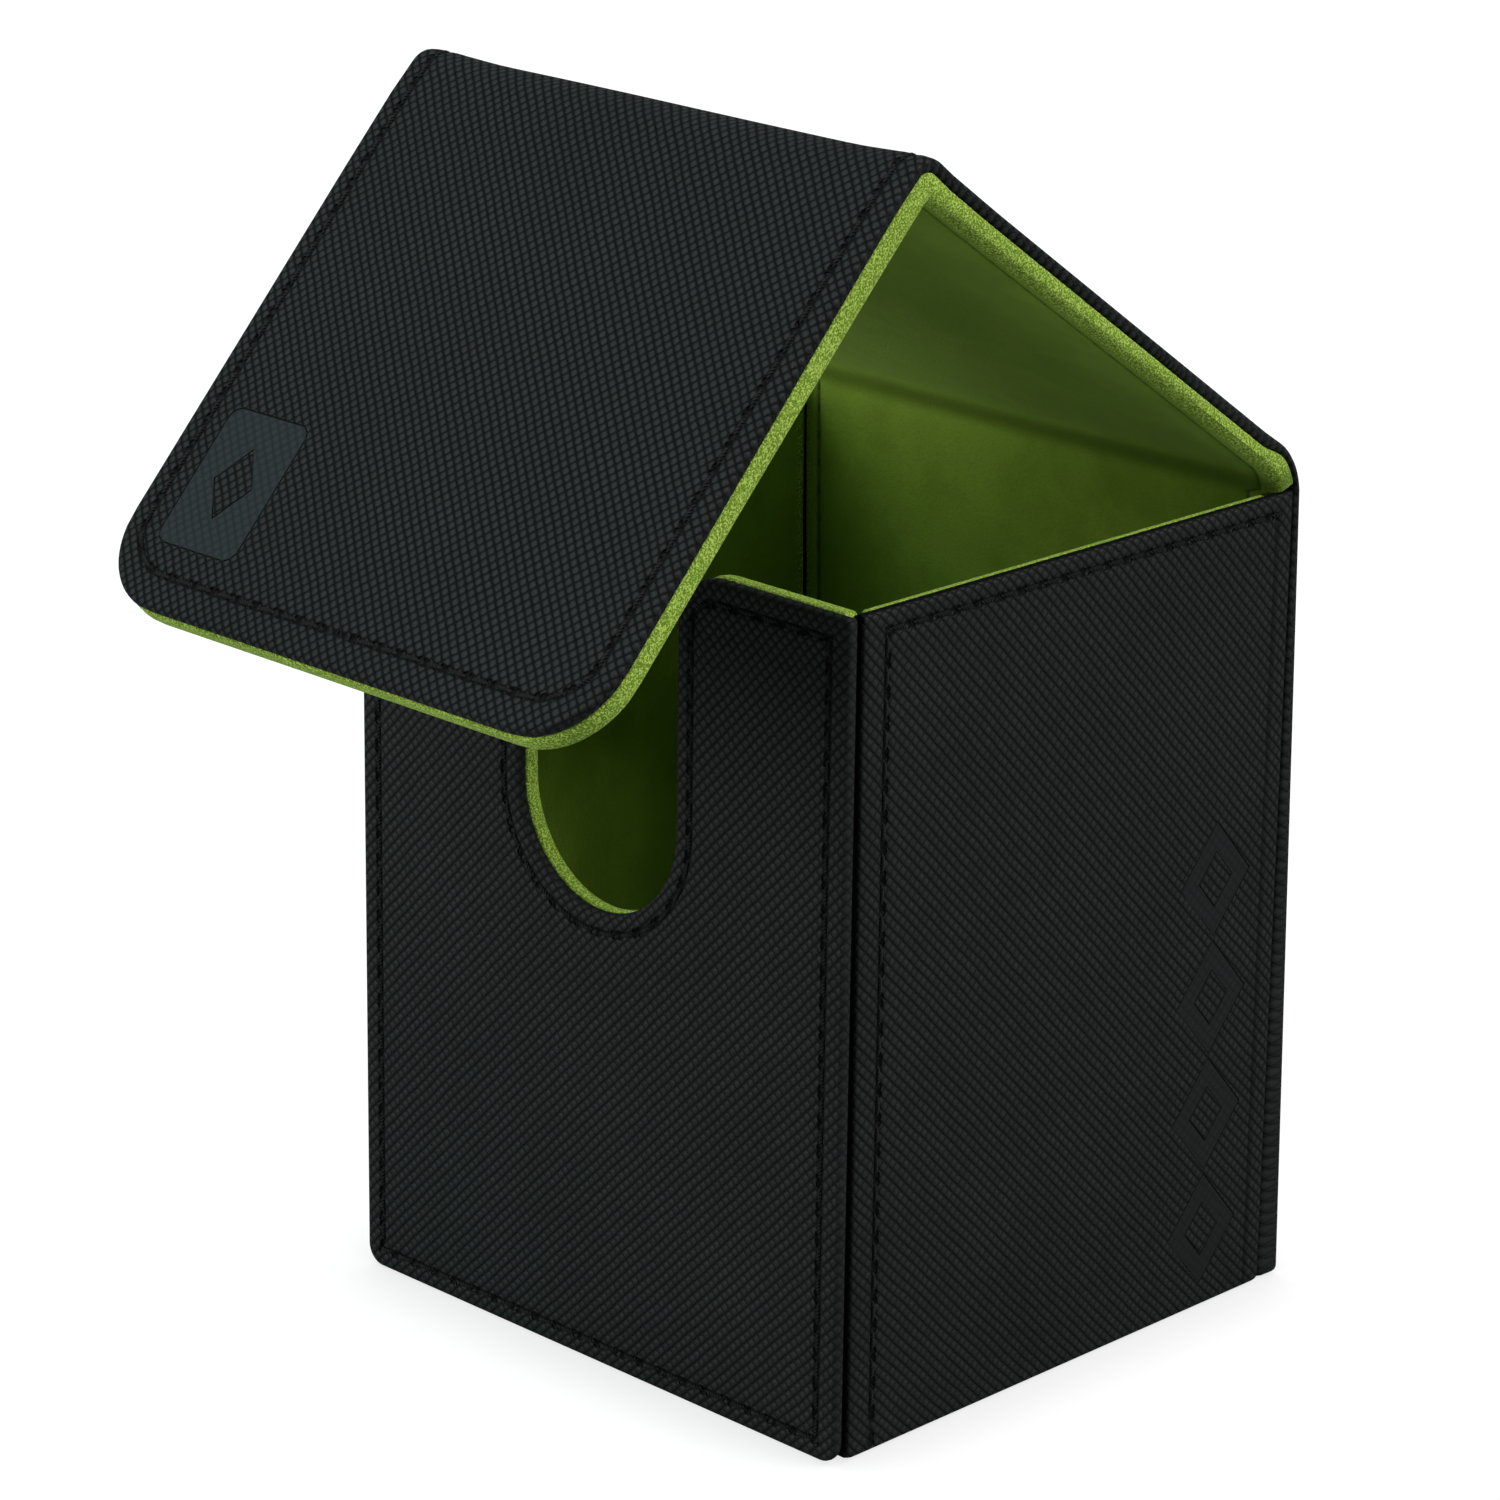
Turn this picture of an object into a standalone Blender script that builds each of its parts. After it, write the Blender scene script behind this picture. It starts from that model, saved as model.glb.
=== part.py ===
"""Card deck box: leather over board walls with suede linings and one long wrap-over lid.

The box stands on its base. +X is the right-hand side, -Y the notched front, +Z up.
The origin is the middle of the underside. All lengths are metres.
"""
import math

import bmesh
import bpy
from mathutils import Matrix, Vector

MM = 0.001

# Driving dimensions.
WIDTH = 80.0 * MM
DEPTH = 76.5 * MM
HEIGHT = 101.0 * MM
FLAP_LENGTH = 71.5 * MM  # from the inner corner of the ridge to the tip
NOTCH_HALF_WIDTH = 13.0 * MM
NOTCH_DEPTH = 44.0 * MM

# The laminate: leather outside, board, suede lining inside.
LEATHER = 0.8 * MM
BOARD = 1.1 * MM
LINING = 1.6 * MM
GAP = 0.25 * MM  # glue line left between any two layers
BOARD_FACE = LEATHER + GAP
TURNED_EDGE = BOARD_FACE + BOARD  # depth of leather turned round a board's edge
LINING_FACE = TURNED_EDGE + GAP
THICKNESS = LINING_FACE + LINING

# How the lid closes: the rear fold's axis, the room over the rim and before the front.
FOLD_INSET = 2.2 * MM
RIM_CLEARANCE = 0.5 * MM
FRONT_CLEARANCE = 2.0 * MM
REAR_FOLD_STRIP = 6.0 * MM  # unboarded leather from the rear axis to the lid's board
RIDGE_FOLD_STRIP = 2.5 * MM
LID_OPEN_ANGLE = math.radians(34.66)  # lid above level, as it stands
RIDGE_TURN = math.radians(82.14)  # fold between the lid and the flap, as it stands
CLOSED_TURN = math.radians(90.0)

RIDGE_REACH = DEPTH - FOLD_INSET + FRONT_CLEARANCE
LID_START, LID_END = REAR_FOLD_STRIP, RIDGE_REACH - RIDGE_FOLD_STRIP

CORNER_RADIUS = 2.5 * MM
TURN_RADIUS = 3.0 * MM  # base leather turning up into the sides
NOTCH_LIP_RADIUS = 4.0 * MM
FLAP_CORNER_RADIUS = 8.0 * MM
HINGE_CORNER_RADIUS = 0.6 * MM
EDGE_SOFTNESS = 0.35 * MM
LINING_INSET = 0.4 * MM  # lid and flap linings stop short of the leather's edge

STITCH_INSET = 3.2 * MM
THREAD_RADIUS = 0.2 * MM
THREAD_LIFT = THREAD_RADIUS + GAP

MAGNET_RADIUS = 5.0 * MM
MAGNET_SPACING = 24.0 * MM  # from the middle, left and right
MAGNET_HEIGHT = 44.0 * MM  # above the base, with the flap shut

ARC_STEP = math.radians(11.25)
OVERSHOOT = 5.0 * MM  # how far a cutter runs past what it cuts

COLOURS = {
    "leather": ((0.030, 0.033, 0.034, 1.0), 0.42, 0.0),
    "suede": ((0.105, 0.190, 0.022, 1.0), 0.95, 0.0),
    "greyboard": ((0.290, 0.265, 0.225, 1.0), 0.90, 0.0),
    "thread": ((0.012, 0.012, 0.013, 1.0), 0.60, 0.0),
    "magnet": ((0.550, 0.550, 0.560, 1.0), 0.30, 1.0),
}


# ---------------------------------------------------------------- scene and materials

def clear_scene():
    for obj in list(bpy.data.objects):
        bpy.data.objects.remove(obj, do_unlink=True)


def new_collection(name):
    collection = bpy.data.collections.new(name)
    bpy.context.scene.collection.children.link(collection)
    return collection


def make_material(node, kind):
    colour, roughness, metallic = COLOURS[kind]
    material = bpy.data.materials.new(node)
    material.use_nodes = True
    shader = material.node_tree.nodes["Principled BSDF"]
    shader.inputs["Base Color"].default_value = colour
    shader.inputs["Roughness"].default_value = roughness
    shader.inputs["Metallic"].default_value = metallic
    material.diffuse_color = colour
    return material


# ---------------------------------------------------------------- outlines

def arc(centre, radius, start, end):
    """Points on an arc, both ends included, counter-clockwise when end > start."""
    steps = max(1, math.ceil(abs(end - start) / ARC_STEP))
    angles = (start + (end - start) * i / steps for i in range(steps + 1))
    return [(centre[0] + radius * math.cos(a), centre[1] + radius * math.sin(a)) for a in angles]


def panel_outline(half_width, low, high, low_radius, high_radius, notch=None):
    """A rounded rectangle, counter-clockwise. notch is its (half width, depth, lip radius)."""
    quarter = math.pi / 2
    points = arc((-half_width + low_radius, low + low_radius), low_radius, 2 * quarter, 3 * quarter)
    points += arc((half_width - low_radius, low + low_radius), low_radius, 3 * quarter, 4 * quarter)
    points += arc((half_width - high_radius, high - high_radius), high_radius, 0, quarter)
    if notch:
        notch_half, depth, lip = notch
        bottom = high - depth + notch_half
        points += arc((notch_half + lip, high - lip), lip, quarter, 2 * quarter)
        points += arc((0, bottom), notch_half, 0, -2 * quarter)
        points += arc((-notch_half - lip, high - lip), lip, 0, quarter)
    points += arc((-half_width + high_radius, high - high_radius), high_radius, quarter, 2 * quarter)
    return points


def front_outline(inset):
    """The notched front, drawn in by inset all round, the notch's edge included."""
    notch = (NOTCH_HALF_WIDTH + inset, NOTCH_DEPTH, max(NOTCH_LIP_RADIUS - inset, 0.5 * MM))
    radius = max(CORNER_RADIUS - inset, HINGE_CORNER_RADIUS)
    return panel_outline(WIDTH / 2 - inset, inset, HEIGHT - inset, radius, radius, notch)


# ---------------------------------------------------------------- solids

def finish_object(obj, node, kind, collection, placement, parent=None):
    obj.name = node
    obj.data.name = node
    obj.data.materials.clear()
    obj.data.materials.append(make_material(node, kind))
    for other in obj.users_collection:
        other.objects.unlink(obj)
    collection.objects.link(obj)
    obj.parent = parent
    obj.matrix_local = placement
    return obj


def curve_to_mesh(curve_object, weld=1e-6):
    """Swap a curve object for a mesh object with its caps welded on."""
    bpy.context.view_layer.update()
    graph = bpy.context.evaluated_depsgraph_get()
    mesh = bpy.data.meshes.new_from_object(curve_object.evaluated_get(graph))
    editable = bmesh.new()
    editable.from_mesh(mesh)
    bmesh.ops.remove_doubles(editable, verts=editable.verts, dist=weld)
    bmesh.ops.recalc_face_normals(editable, faces=editable.faces)
    editable.to_mesh(mesh)
    editable.free()
    solid = bpy.data.objects.new(curve_object.name, mesh)
    solid.matrix_world = curve_object.matrix_world
    bpy.data.objects.remove(curve_object, do_unlink=True)
    bpy.context.scene.collection.objects.link(solid)
    return solid


def new_curve(name, dimensions, points, cyclic):
    data = bpy.data.curves.new(name, "CURVE")
    data.dimensions = dimensions
    spline = data.splines.new("POLY")
    spline.points.add(len(points) - 1)
    for point, place in zip(spline.points, points):
        point.co = (*place, *(0.0,) * (3 - len(place)), 1.0)
    spline.use_cyclic_u = cyclic
    obj = bpy.data.objects.new(name, data)
    bpy.context.scene.collection.objects.link(obj)
    return obj


def slab(name, outline, top, bottom):
    """A flat outline made solid between two heights, top above bottom."""
    curve = new_curve(name, "2D", outline, cyclic=True)
    curve.data.fill_mode = "BOTH"
    curve.data.extrude = (top - bottom) / 2
    solid = curve_to_mesh(curve)
    solid.data.transform(Matrix.Translation((0, 0, (top + bottom) / 2)))
    return solid


def soften_edges(obj, width=EDGE_SOFTNESS):
    bevel = obj.modifiers.new("soft_edges", "BEVEL")
    bevel.width = width
    bevel.segments = 2
    bevel.limit_method = "ANGLE"
    bevel.angle_limit = math.radians(50)


def cut(obj, cutter, collection):
    """Take cutter out of obj, both in the same local frame."""
    for other in cutter.users_collection:
        other.objects.unlink(cutter)
    collection.objects.link(cutter)
    cutter.parent = obj.parent
    cutter.matrix_local = obj.matrix_local
    cutter.hide_render = True
    cutter.display_type = "WIRE"
    boolean = obj.modifiers.new(cutter.name, "BOOLEAN")
    boolean.operation = "DIFFERENCE"
    boolean.solver = "EXACT"
    boolean.object = cutter


def disc(name, centre, radius, top, bottom):
    bpy.ops.mesh.primitive_cylinder_add(
        vertices=48, radius=radius, depth=top - bottom,
        location=(centre[0], centre[1], (top + bottom) / 2),
    )
    solid = bpy.context.active_object
    solid.name = name
    solid.data.transform(Matrix.Translation(solid.location))
    solid.location = (0, 0, 0)
    return solid


# ---------------------------------------------------------------- panel layers
# A panel is drawn flat: local z = 0 is its outer face, with the layers below that.

class Builder:
    """Holds the two collections, so that each part's function stays short."""

    def __init__(self):
        self.parts = new_collection("card_deck_box")
        self.cutters = new_collection("cutters")

    def plate(self, node, kind, outline, top, bottom, placement, parent=None, soft=False):
        obj = finish_object(
            slab(node, outline, top, bottom), node, kind, self.parts, placement, parent
        )
        if soft:
            soften_edges(obj)
        return obj

    def cover(self, node, outline, pocket, placement, parent=None):
        """A leather skin with its edges turned in round the board's pocket."""
        obj = self.plate(node, "leather", outline, 0, -TURNED_EDGE, placement, parent, soft=True)
        cut(obj, slab(node + "_pocket", pocket, -LEATHER, -TURNED_EDGE - OVERSHOOT), self.cutters)
        return obj

    def board(self, node, outline, placement, parent=None, holes=()):
        obj = self.plate(node, "greyboard", outline, -BOARD_FACE, -TURNED_EDGE, placement, parent)
        for number, centre in enumerate(holes):
            hole = disc(f"{node}_hole_{number}", centre, MAGNET_RADIUS + GAP,
                        OVERSHOOT, -TURNED_EDGE - OVERSHOOT)
            cut(obj, hole, self.cutters)
        return obj

    def lining(self, node, outline, placement, parent=None):
        return self.plate(node, "suede", outline, -LINING_FACE, -THICKNESS, placement, parent, soft=True)

    def magnet(self, node, centre, placement, parent=None):
        solid = disc(node, centre, MAGNET_RADIUS, -BOARD_FACE, -TURNED_EDGE)
        return finish_object(solid, node, "magnet", self.parts, placement, parent)

    def thread(self, node, run, cyclic, placement, parent=None):
        """Sewing thread laid along a run of stitches, just proud of the leather."""
        curve = new_curve(node, "3D", [(x, y, THREAD_LIFT) for x, y in run], cyclic)
        curve.data.bevel_depth = THREAD_RADIUS
        curve.data.bevel_resolution = 2
        curve.data.use_fill_caps = not cyclic
        return finish_object(curve_to_mesh(curve), node, "thread", self.parts, placement, parent)

    def fold_strip(self, node, kind, path, thickness, half_width, placement, parent=None):
        """A band of even thickness that follows path, (y, z) points, across the box."""
        mesh = bpy.data.meshes.new(node)
        ribbon = bmesh.new()
        rows = [[ribbon.verts.new((x, y, z)) for x in (-half_width, half_width)] for y, z in path]
        for (left, right), (next_left, next_right) in zip(rows, rows[1:]):
            ribbon.faces.new((left, right, next_right, next_left))
        ribbon.to_mesh(mesh)
        ribbon.free()
        obj = bpy.data.objects.new(node, mesh)
        finish_object(obj, node, kind, self.parts, placement, parent)
        solidify = obj.modifiers.new("thickness", "SOLIDIFY")
        solidify.thickness = thickness
        solidify.offset = 0
        solidify.use_even_offset = True
        return obj


# ---------------------------------------------------------------- placements

def placement(u, v, w, origin):
    """Local x, y and z axes laid along u, v and w in the box's frame."""
    turn = Matrix((u, v, w)).transposed().to_4x4()
    return Matrix.Translation(origin) @ turn


FRONT = placement((1, 0, 0), (0, 0, 1), (0, -1, 0), (0, -DEPTH / 2, 0))
BACK = placement((-1, 0, 0), (0, 0, 1), (0, 1, 0), (0, DEPTH / 2, 0))
RIGHT = placement((0, 1, 0), (0, 0, 1), (1, 0, 0), (WIDTH / 2, 0, 0))
LEFT = placement((0, -1, 0), (0, 0, 1), (-1, 0, 0), (-WIDTH / 2, 0, 0))
BASE = placement((1, 0, 0), (0, -1, 0), (0, 0, -1), (0, 0, 0))
# The lid and flap are placed in the frames of their fold axes, shut.
LID = placement((-1, 0, 0), (0, -1, 0), (0, 0, 1), (0, 0, THICKNESS + RIM_CLEARANCE))
FLAP = placement((-1, 0, 0), (0, 0, -1), (0, -1, 0), (0, -THICKNESS, 0))


def magnet_places(height):
    return {"left": (-MAGNET_SPACING, height), "right": (MAGNET_SPACING, height)}


# ---------------------------------------------------------------- the box

def build_front(build):
    build.cover("front_cover", front_outline(0), front_outline(LEATHER), FRONT)
    magnets = magnet_places(MAGNET_HEIGHT)
    build.board("front_board", front_outline(BOARD_FACE), FRONT, holes=magnets.values())
    for side, centre in magnets.items():
        build.magnet(f"front_magnet_{side}", centre, FRONT)
    lining = panel_outline(
        WIDTH / 2 - LINING_FACE, LINING_FACE, HEIGHT, HINGE_CORNER_RADIUS, HINGE_CORNER_RADIUS,
        (NOTCH_HALF_WIDTH, NOTCH_DEPTH, NOTCH_LIP_RADIUS),
    )
    build.lining("front_lining", lining, FRONT)
    build.thread("front_thread", front_outline(STITCH_INSET), True, FRONT)


def build_side_and_base(build):
    """One leather strip forms the left side, the base and the right side."""
    half_width, reach = WIDTH / 2, DEPTH / 2 - LINING_FACE
    outer = panel_outline(half_width, 0, HEIGHT, TURN_RADIUS, HINGE_CORNER_RADIUS)
    strip = build.plate(
        "side_and_base_cover", "leather", outer, -LINING_FACE, -LINING_FACE - 2 * reach, FRONT, soft=True
    )
    hollow = panel_outline(
        half_width - TURNED_EDGE, TURNED_EDGE, HEIGHT + OVERSHOOT, HINGE_CORNER_RADIUS, HINGE_CORNER_RADIUS
    )
    pocket = panel_outline(
        half_width - LEATHER, LEATHER, HEIGHT - LEATHER, TURN_RADIUS - LEATHER, HINGE_CORNER_RADIUS
    )
    cut(strip, slab("strip_hollow", hollow, OVERSHOOT, -DEPTH - OVERSHOOT), build.cutters)
    pocket_top = -LINING_FACE - LEATHER
    cut(strip, slab("strip_pocket", pocket, pocket_top, -DEPTH - pocket_top), build.cutters)

    board_reach = reach - BOARD_FACE
    side_board = panel_outline(
        board_reach, TURN_RADIUS, HEIGHT - BOARD_FACE, HINGE_CORNER_RADIUS, HINGE_CORNER_RADIUS
    )
    build.board("right_board", side_board, RIGHT)
    build.board("left_board", side_board, LEFT)
    base_half_width = half_width - TURN_RADIUS + GAP
    build.board("base_board", panel_outline(
        base_half_width, -board_reach, board_reach, HINGE_CORNER_RADIUS, HINGE_CORNER_RADIUS), BASE)

    inner_depth = DEPTH / 2 - THICKNESS - GAP
    side_lining = panel_outline(
        inner_depth, LINING_FACE, HEIGHT, HINGE_CORNER_RADIUS, HINGE_CORNER_RADIUS
    )
    build.lining("right_lining", side_lining, RIGHT)
    build.lining("left_lining", side_lining, LEFT)
    base_half = half_width - THICKNESS - GAP
    build.lining("base_lining", panel_outline(
        base_half, -inner_depth, inner_depth, HINGE_CORNER_RADIUS, HINGE_CORNER_RADIUS), BASE)

    inset = reach - STITCH_INSET
    over = [(-inset, STITCH_INSET), (-inset, HEIGHT - STITCH_INSET),
            (inset, HEIGHT - STITCH_INSET), (inset, STITCH_INSET)]
    build.thread("right_thread", over, False, RIGHT)
    build.thread("left_thread", over, False, LEFT)


def build_back(build):
    half_width = WIDTH / 2

    def outline(inset):
        radius = max(CORNER_RADIUS - inset, HINGE_CORNER_RADIUS)
        return panel_outline(half_width - inset, inset, HEIGHT - inset, radius, HINGE_CORNER_RADIUS)

    build.cover("back_cover", outline(0), outline(LEATHER), BACK)
    build.board("back_board", outline(BOARD_FACE), BACK)
    build.lining("back_lining", panel_outline(
        half_width - LINING_FACE, LINING_FACE, HEIGHT, HINGE_CORNER_RADIUS, HINGE_CORNER_RADIUS), BACK)
    side = half_width - STITCH_INSET
    under = [(-side, HEIGHT - STITCH_INSET), (-side, STITCH_INSET),
             (side, STITCH_INSET), (side, HEIGHT - STITCH_INSET)]
    build.thread("back_thread", under, False, BACK)


# ---------------------------------------------------------------- the lid and flap

def build_lid(build, axis):
    half_width = WIDTH / 2

    def outline(inset):
        return panel_outline(half_width - inset, LID_START + inset, LID_END - inset,
                             HINGE_CORNER_RADIUS, HINGE_CORNER_RADIUS)

    build.cover("lid_cover", outline(0), outline(LEATHER), LID, axis)
    build.board("lid_board", outline(BOARD_FACE), LID, axis)
    build.lining("lid_lining", outline(LINING_INSET), LID, axis)
    # The lid's local x runs from right to left.
    for side, x in (("left", half_width - STITCH_INSET), ("right", STITCH_INSET - half_width)):
        run = [(x, LID_START + MM), (x, LID_END - MM)]
        build.thread(f"lid_thread_{side}", run, False, LID, axis)


def build_flap(build, axis):
    half_width = WIDTH / 2

    def outline(inset):
        return panel_outline(half_width - inset, RIDGE_FOLD_STRIP + inset, FLAP_LENGTH - inset,
                             HINGE_CORNER_RADIUS, FLAP_CORNER_RADIUS - inset)

    build.cover("flap_cover", outline(0), outline(LEATHER), FLAP, axis)
    magnets = magnet_places(HEIGHT + RIM_CLEARANCE - MAGNET_HEIGHT)
    build.board("flap_board", outline(BOARD_FACE), FLAP, axis, holes=magnets.values())
    for side, centre in magnets.items():
        # The flap's local x runs the other way, so the magnets swap names.
        other = "right" if side == "left" else "left"
        build.magnet(f"flap_magnet_{other}", centre, FLAP, axis)
    build.lining("flap_lining", outline(LINING_INSET), FLAP, axis)
    side = half_width - STITCH_INSET
    tip = FLAP_LENGTH - STITCH_INSET
    radius = FLAP_CORNER_RADIUS - STITCH_INSET
    run = [(-side, RIDGE_FOLD_STRIP + MM)]
    run += arc((-side + radius, tip - radius), radius, math.pi, math.pi / 2)
    run += arc((side - radius, tip - radius), radius, math.pi / 2, 0)
    run += [(side, RIDGE_FOLD_STRIP + MM)]
    build.thread("flap_thread", run, False, FLAP, axis)


# ---------------------------------------------------------------- the two folds

def bezier(start, start_pull, end_pull, end, steps=10):
    points = []
    for i in range(steps + 1):
        t = i / steps
        s = 1 - t
        points.append(s**3 * start + 3 * s * s * t * start_pull + 3 * s * t * t * end_pull + t**3 * end)
    return [(p.x, p.y) for p in points]


def build_rear_fold(build):
    """Skin and lining that carry on from the back wall, over the rear axis, to the lid."""
    along = Vector((-math.cos(LID_OPEN_ANGLE), math.sin(LID_OPEN_ANGLE)))
    outward = Vector((math.sin(LID_OPEN_ANGLE), math.cos(LID_OPEN_ANGLE)))
    axis = Vector((DEPTH / 2 - FOLD_INSET, HEIGHT))
    reach = LID_START - GAP
    layers = (
        ("rear_hinge_skin", "leather", LEATHER, LEATHER / 2),
        ("rear_hinge_lining", "suede", LINING, LINING_FACE + LINING / 2),
    )
    for node, kind, thickness, depth in layers:
        start = Vector((DEPTH / 2 - depth, HEIGHT + GAP))
        end = axis + along * reach + outward * (THICKNESS + RIM_CLEARANCE - depth)
        pull = (end - start).length / 3
        path = bezier(start, start + Vector((0, pull)), end - along * pull, end)
        build.fold_strip(node, kind, path, thickness, WIDTH / 2 - LINING_INSET, Matrix())


def build_ridge_fold(build, lid_axis):
    """Skin and lining that turn over the ridge, drawn in the shut lid's frame."""
    ridge = Vector((-RIDGE_REACH, RIM_CLEARANCE))
    level, down = Vector((-1, 0)), Vector((-math.cos(RIDGE_TURN), -math.sin(RIDGE_TURN)))
    reach = RIDGE_FOLD_STRIP - GAP

    def fillet_path(height, radius):
        """A line height above the lid's inner face, round the ridge, down the flap."""
        tangent = math.tan(RIDGE_TURN / 2)
        corner = ridge + Vector((0, height)) + level * height * tangent
        centre = corner - level * radius * tangent - Vector((0, radius))
        start = ridge + Vector((0, height)) - level * reach
        end = ridge + down * reach + Vector((down.y, -down.x)) * height
        turn = arc(centre, radius, math.pi / 2, math.pi / 2 + RIDGE_TURN)
        return [tuple(start), *turn, tuple(end)]

    skin = fillet_path(THICKNESS - LEATHER / 2, THICKNESS - LEATHER / 2)
    build.fold_strip("ridge_hinge_skin", "leather", skin, LEATHER, WIDTH / 2 - LINING_INSET,
                     Matrix(), lid_axis)
    lining = fillet_path(LINING / 2, LINING)
    build.fold_strip("ridge_hinge_lining", "suede", lining, LINING, WIDTH / 2 - LINING_INSET,
                     Matrix(), lid_axis)


def add_axis(name, location, angle, collection, parent=None):
    axis = bpy.data.objects.new(name, None)
    axis.empty_display_size = 10 * MM
    collection.objects.link(axis)
    axis.parent = parent
    axis.location = location
    axis.rotation_euler.x = angle
    return axis


def main():
    clear_scene()
    build = Builder()
    build_front(build)
    build_side_and_base(build)
    build_back(build)
    lid_axis = add_axis("lid_axis", (0, DEPTH / 2 - FOLD_INSET, HEIGHT), -LID_OPEN_ANGLE, build.parts)
    build_lid(build, lid_axis)
    flap_axis = add_axis("flap_axis", (0, -RIDGE_REACH, RIM_CLEARANCE), RIDGE_TURN - CLOSED_TURN,
                         build.parts, lid_axis)
    build_flap(build, flap_axis)
    build_rear_fold(build)
    build_ridge_fold(build, lid_axis)
    bpy.context.view_layer.update()


main()
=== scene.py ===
"""Card deck box: its looks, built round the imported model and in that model's frame.

Shapes are worked out in millimetres and made in metres. A panel's outer face is w = 0 and the
layers under it have negative w. t is the distance in from a panel's edge.
"""

import math
from functools import partialmethod

import bmesh
import bpy
import numpy as np
from mathutils import Matrix, Vector
from mathutils.geometry import delaunay_2d_cdt


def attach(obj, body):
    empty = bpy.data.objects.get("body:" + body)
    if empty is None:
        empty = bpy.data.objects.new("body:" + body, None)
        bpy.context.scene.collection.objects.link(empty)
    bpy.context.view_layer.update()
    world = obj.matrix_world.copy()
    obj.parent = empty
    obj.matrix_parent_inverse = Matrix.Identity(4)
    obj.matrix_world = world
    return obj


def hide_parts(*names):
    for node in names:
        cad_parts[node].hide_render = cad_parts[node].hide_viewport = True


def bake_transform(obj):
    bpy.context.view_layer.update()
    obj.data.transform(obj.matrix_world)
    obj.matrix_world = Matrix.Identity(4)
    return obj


MM = 0.001

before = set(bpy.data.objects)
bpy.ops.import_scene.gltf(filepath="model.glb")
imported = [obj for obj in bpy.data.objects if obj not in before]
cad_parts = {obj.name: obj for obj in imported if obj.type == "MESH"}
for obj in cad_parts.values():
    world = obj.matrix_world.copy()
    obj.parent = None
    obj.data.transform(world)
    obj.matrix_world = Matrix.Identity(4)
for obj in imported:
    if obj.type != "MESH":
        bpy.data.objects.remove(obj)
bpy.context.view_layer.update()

# Box, lid and flap, in millimetres.
HALF_WIDTH, HALF_DEPTH, HEIGHT = 40.0, 38.25, 101.0
STRIP_FRONT, STRIP_REAR = -35.95, 37.1  # the side strip runs between the front and the back panel
NOTCH_HALF_WIDTH, NOTCH_DEPTH, NOTCH_LIP = 12.95, 44.15, 6.5
NOTCH_X = 0.35  # the notch is cut a little off centre
NOTCH_CENTRE = HEIGHT - NOTCH_DEPTH + NOTCH_HALF_WIDTH
LID_ANGLE, RIDGE_TURN = math.radians(34.66), math.radians(82.14)
REAR_TURN = math.pi / 2 - LID_ANGLE
LID_LENGTH, FLAP_LENGTH = 79.87, 75.56
REAR_S = 104.95
RIDGE_S = REAR_S + LID_LENGTH
TIP_S = RIDGE_S + FLAP_LENGTH
SPLIT_S = 134.0  # the wrap is two pieces, joined in the flat of the lid
LEAN_BOTTOM, LEAN_TOP = 2.6, 0.1  # how far back the back wall stands at its foot and at its rim

STITCH_PITCH, STITCH_LENGTH, THREAD_RADIUS = 3.6, 2.75, 0.25
SEAM = 3.0  # t of the stitch channel before an edge's own inset is set
GRID = 3.0  # widest step between two stations of a panel
FAR = 1e6  # t at an end that is not a free edge


# ---------------- curves and folded sheets

def smooth(low, high, x):
    k = np.clip((np.asarray(x, float) - low) / (high - low), 0, 1)
    return k * k * (3 - 2 * k)


def ripple(a, b, scale, seed=0.0):
    """Slow unevenness from a few sines, about -1 to 1."""
    total = 0.0
    for number, (p, q) in enumerate(((1.0, 0.6), (-0.7, 1.3), (1.7, 0.9), (0.4, -1.9))):
        total = total + np.sin(2 * math.pi * (p * a + q * b) / scale + seed * (number + 1) + number * 1.7)
    return total / 4


def warp(t, inset):
    """Moves the stitch channel from t = SEAM to an edge's own inset, and nothing near the edge itself."""
    return np.interp(t, (0, 1.0, SEAM - 0.7, SEAM + 0.7, 8.0, 500.0),
                     (0, 1.0, inset - 0.7, inset + 0.7, 8.0, 500.0))


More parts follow.
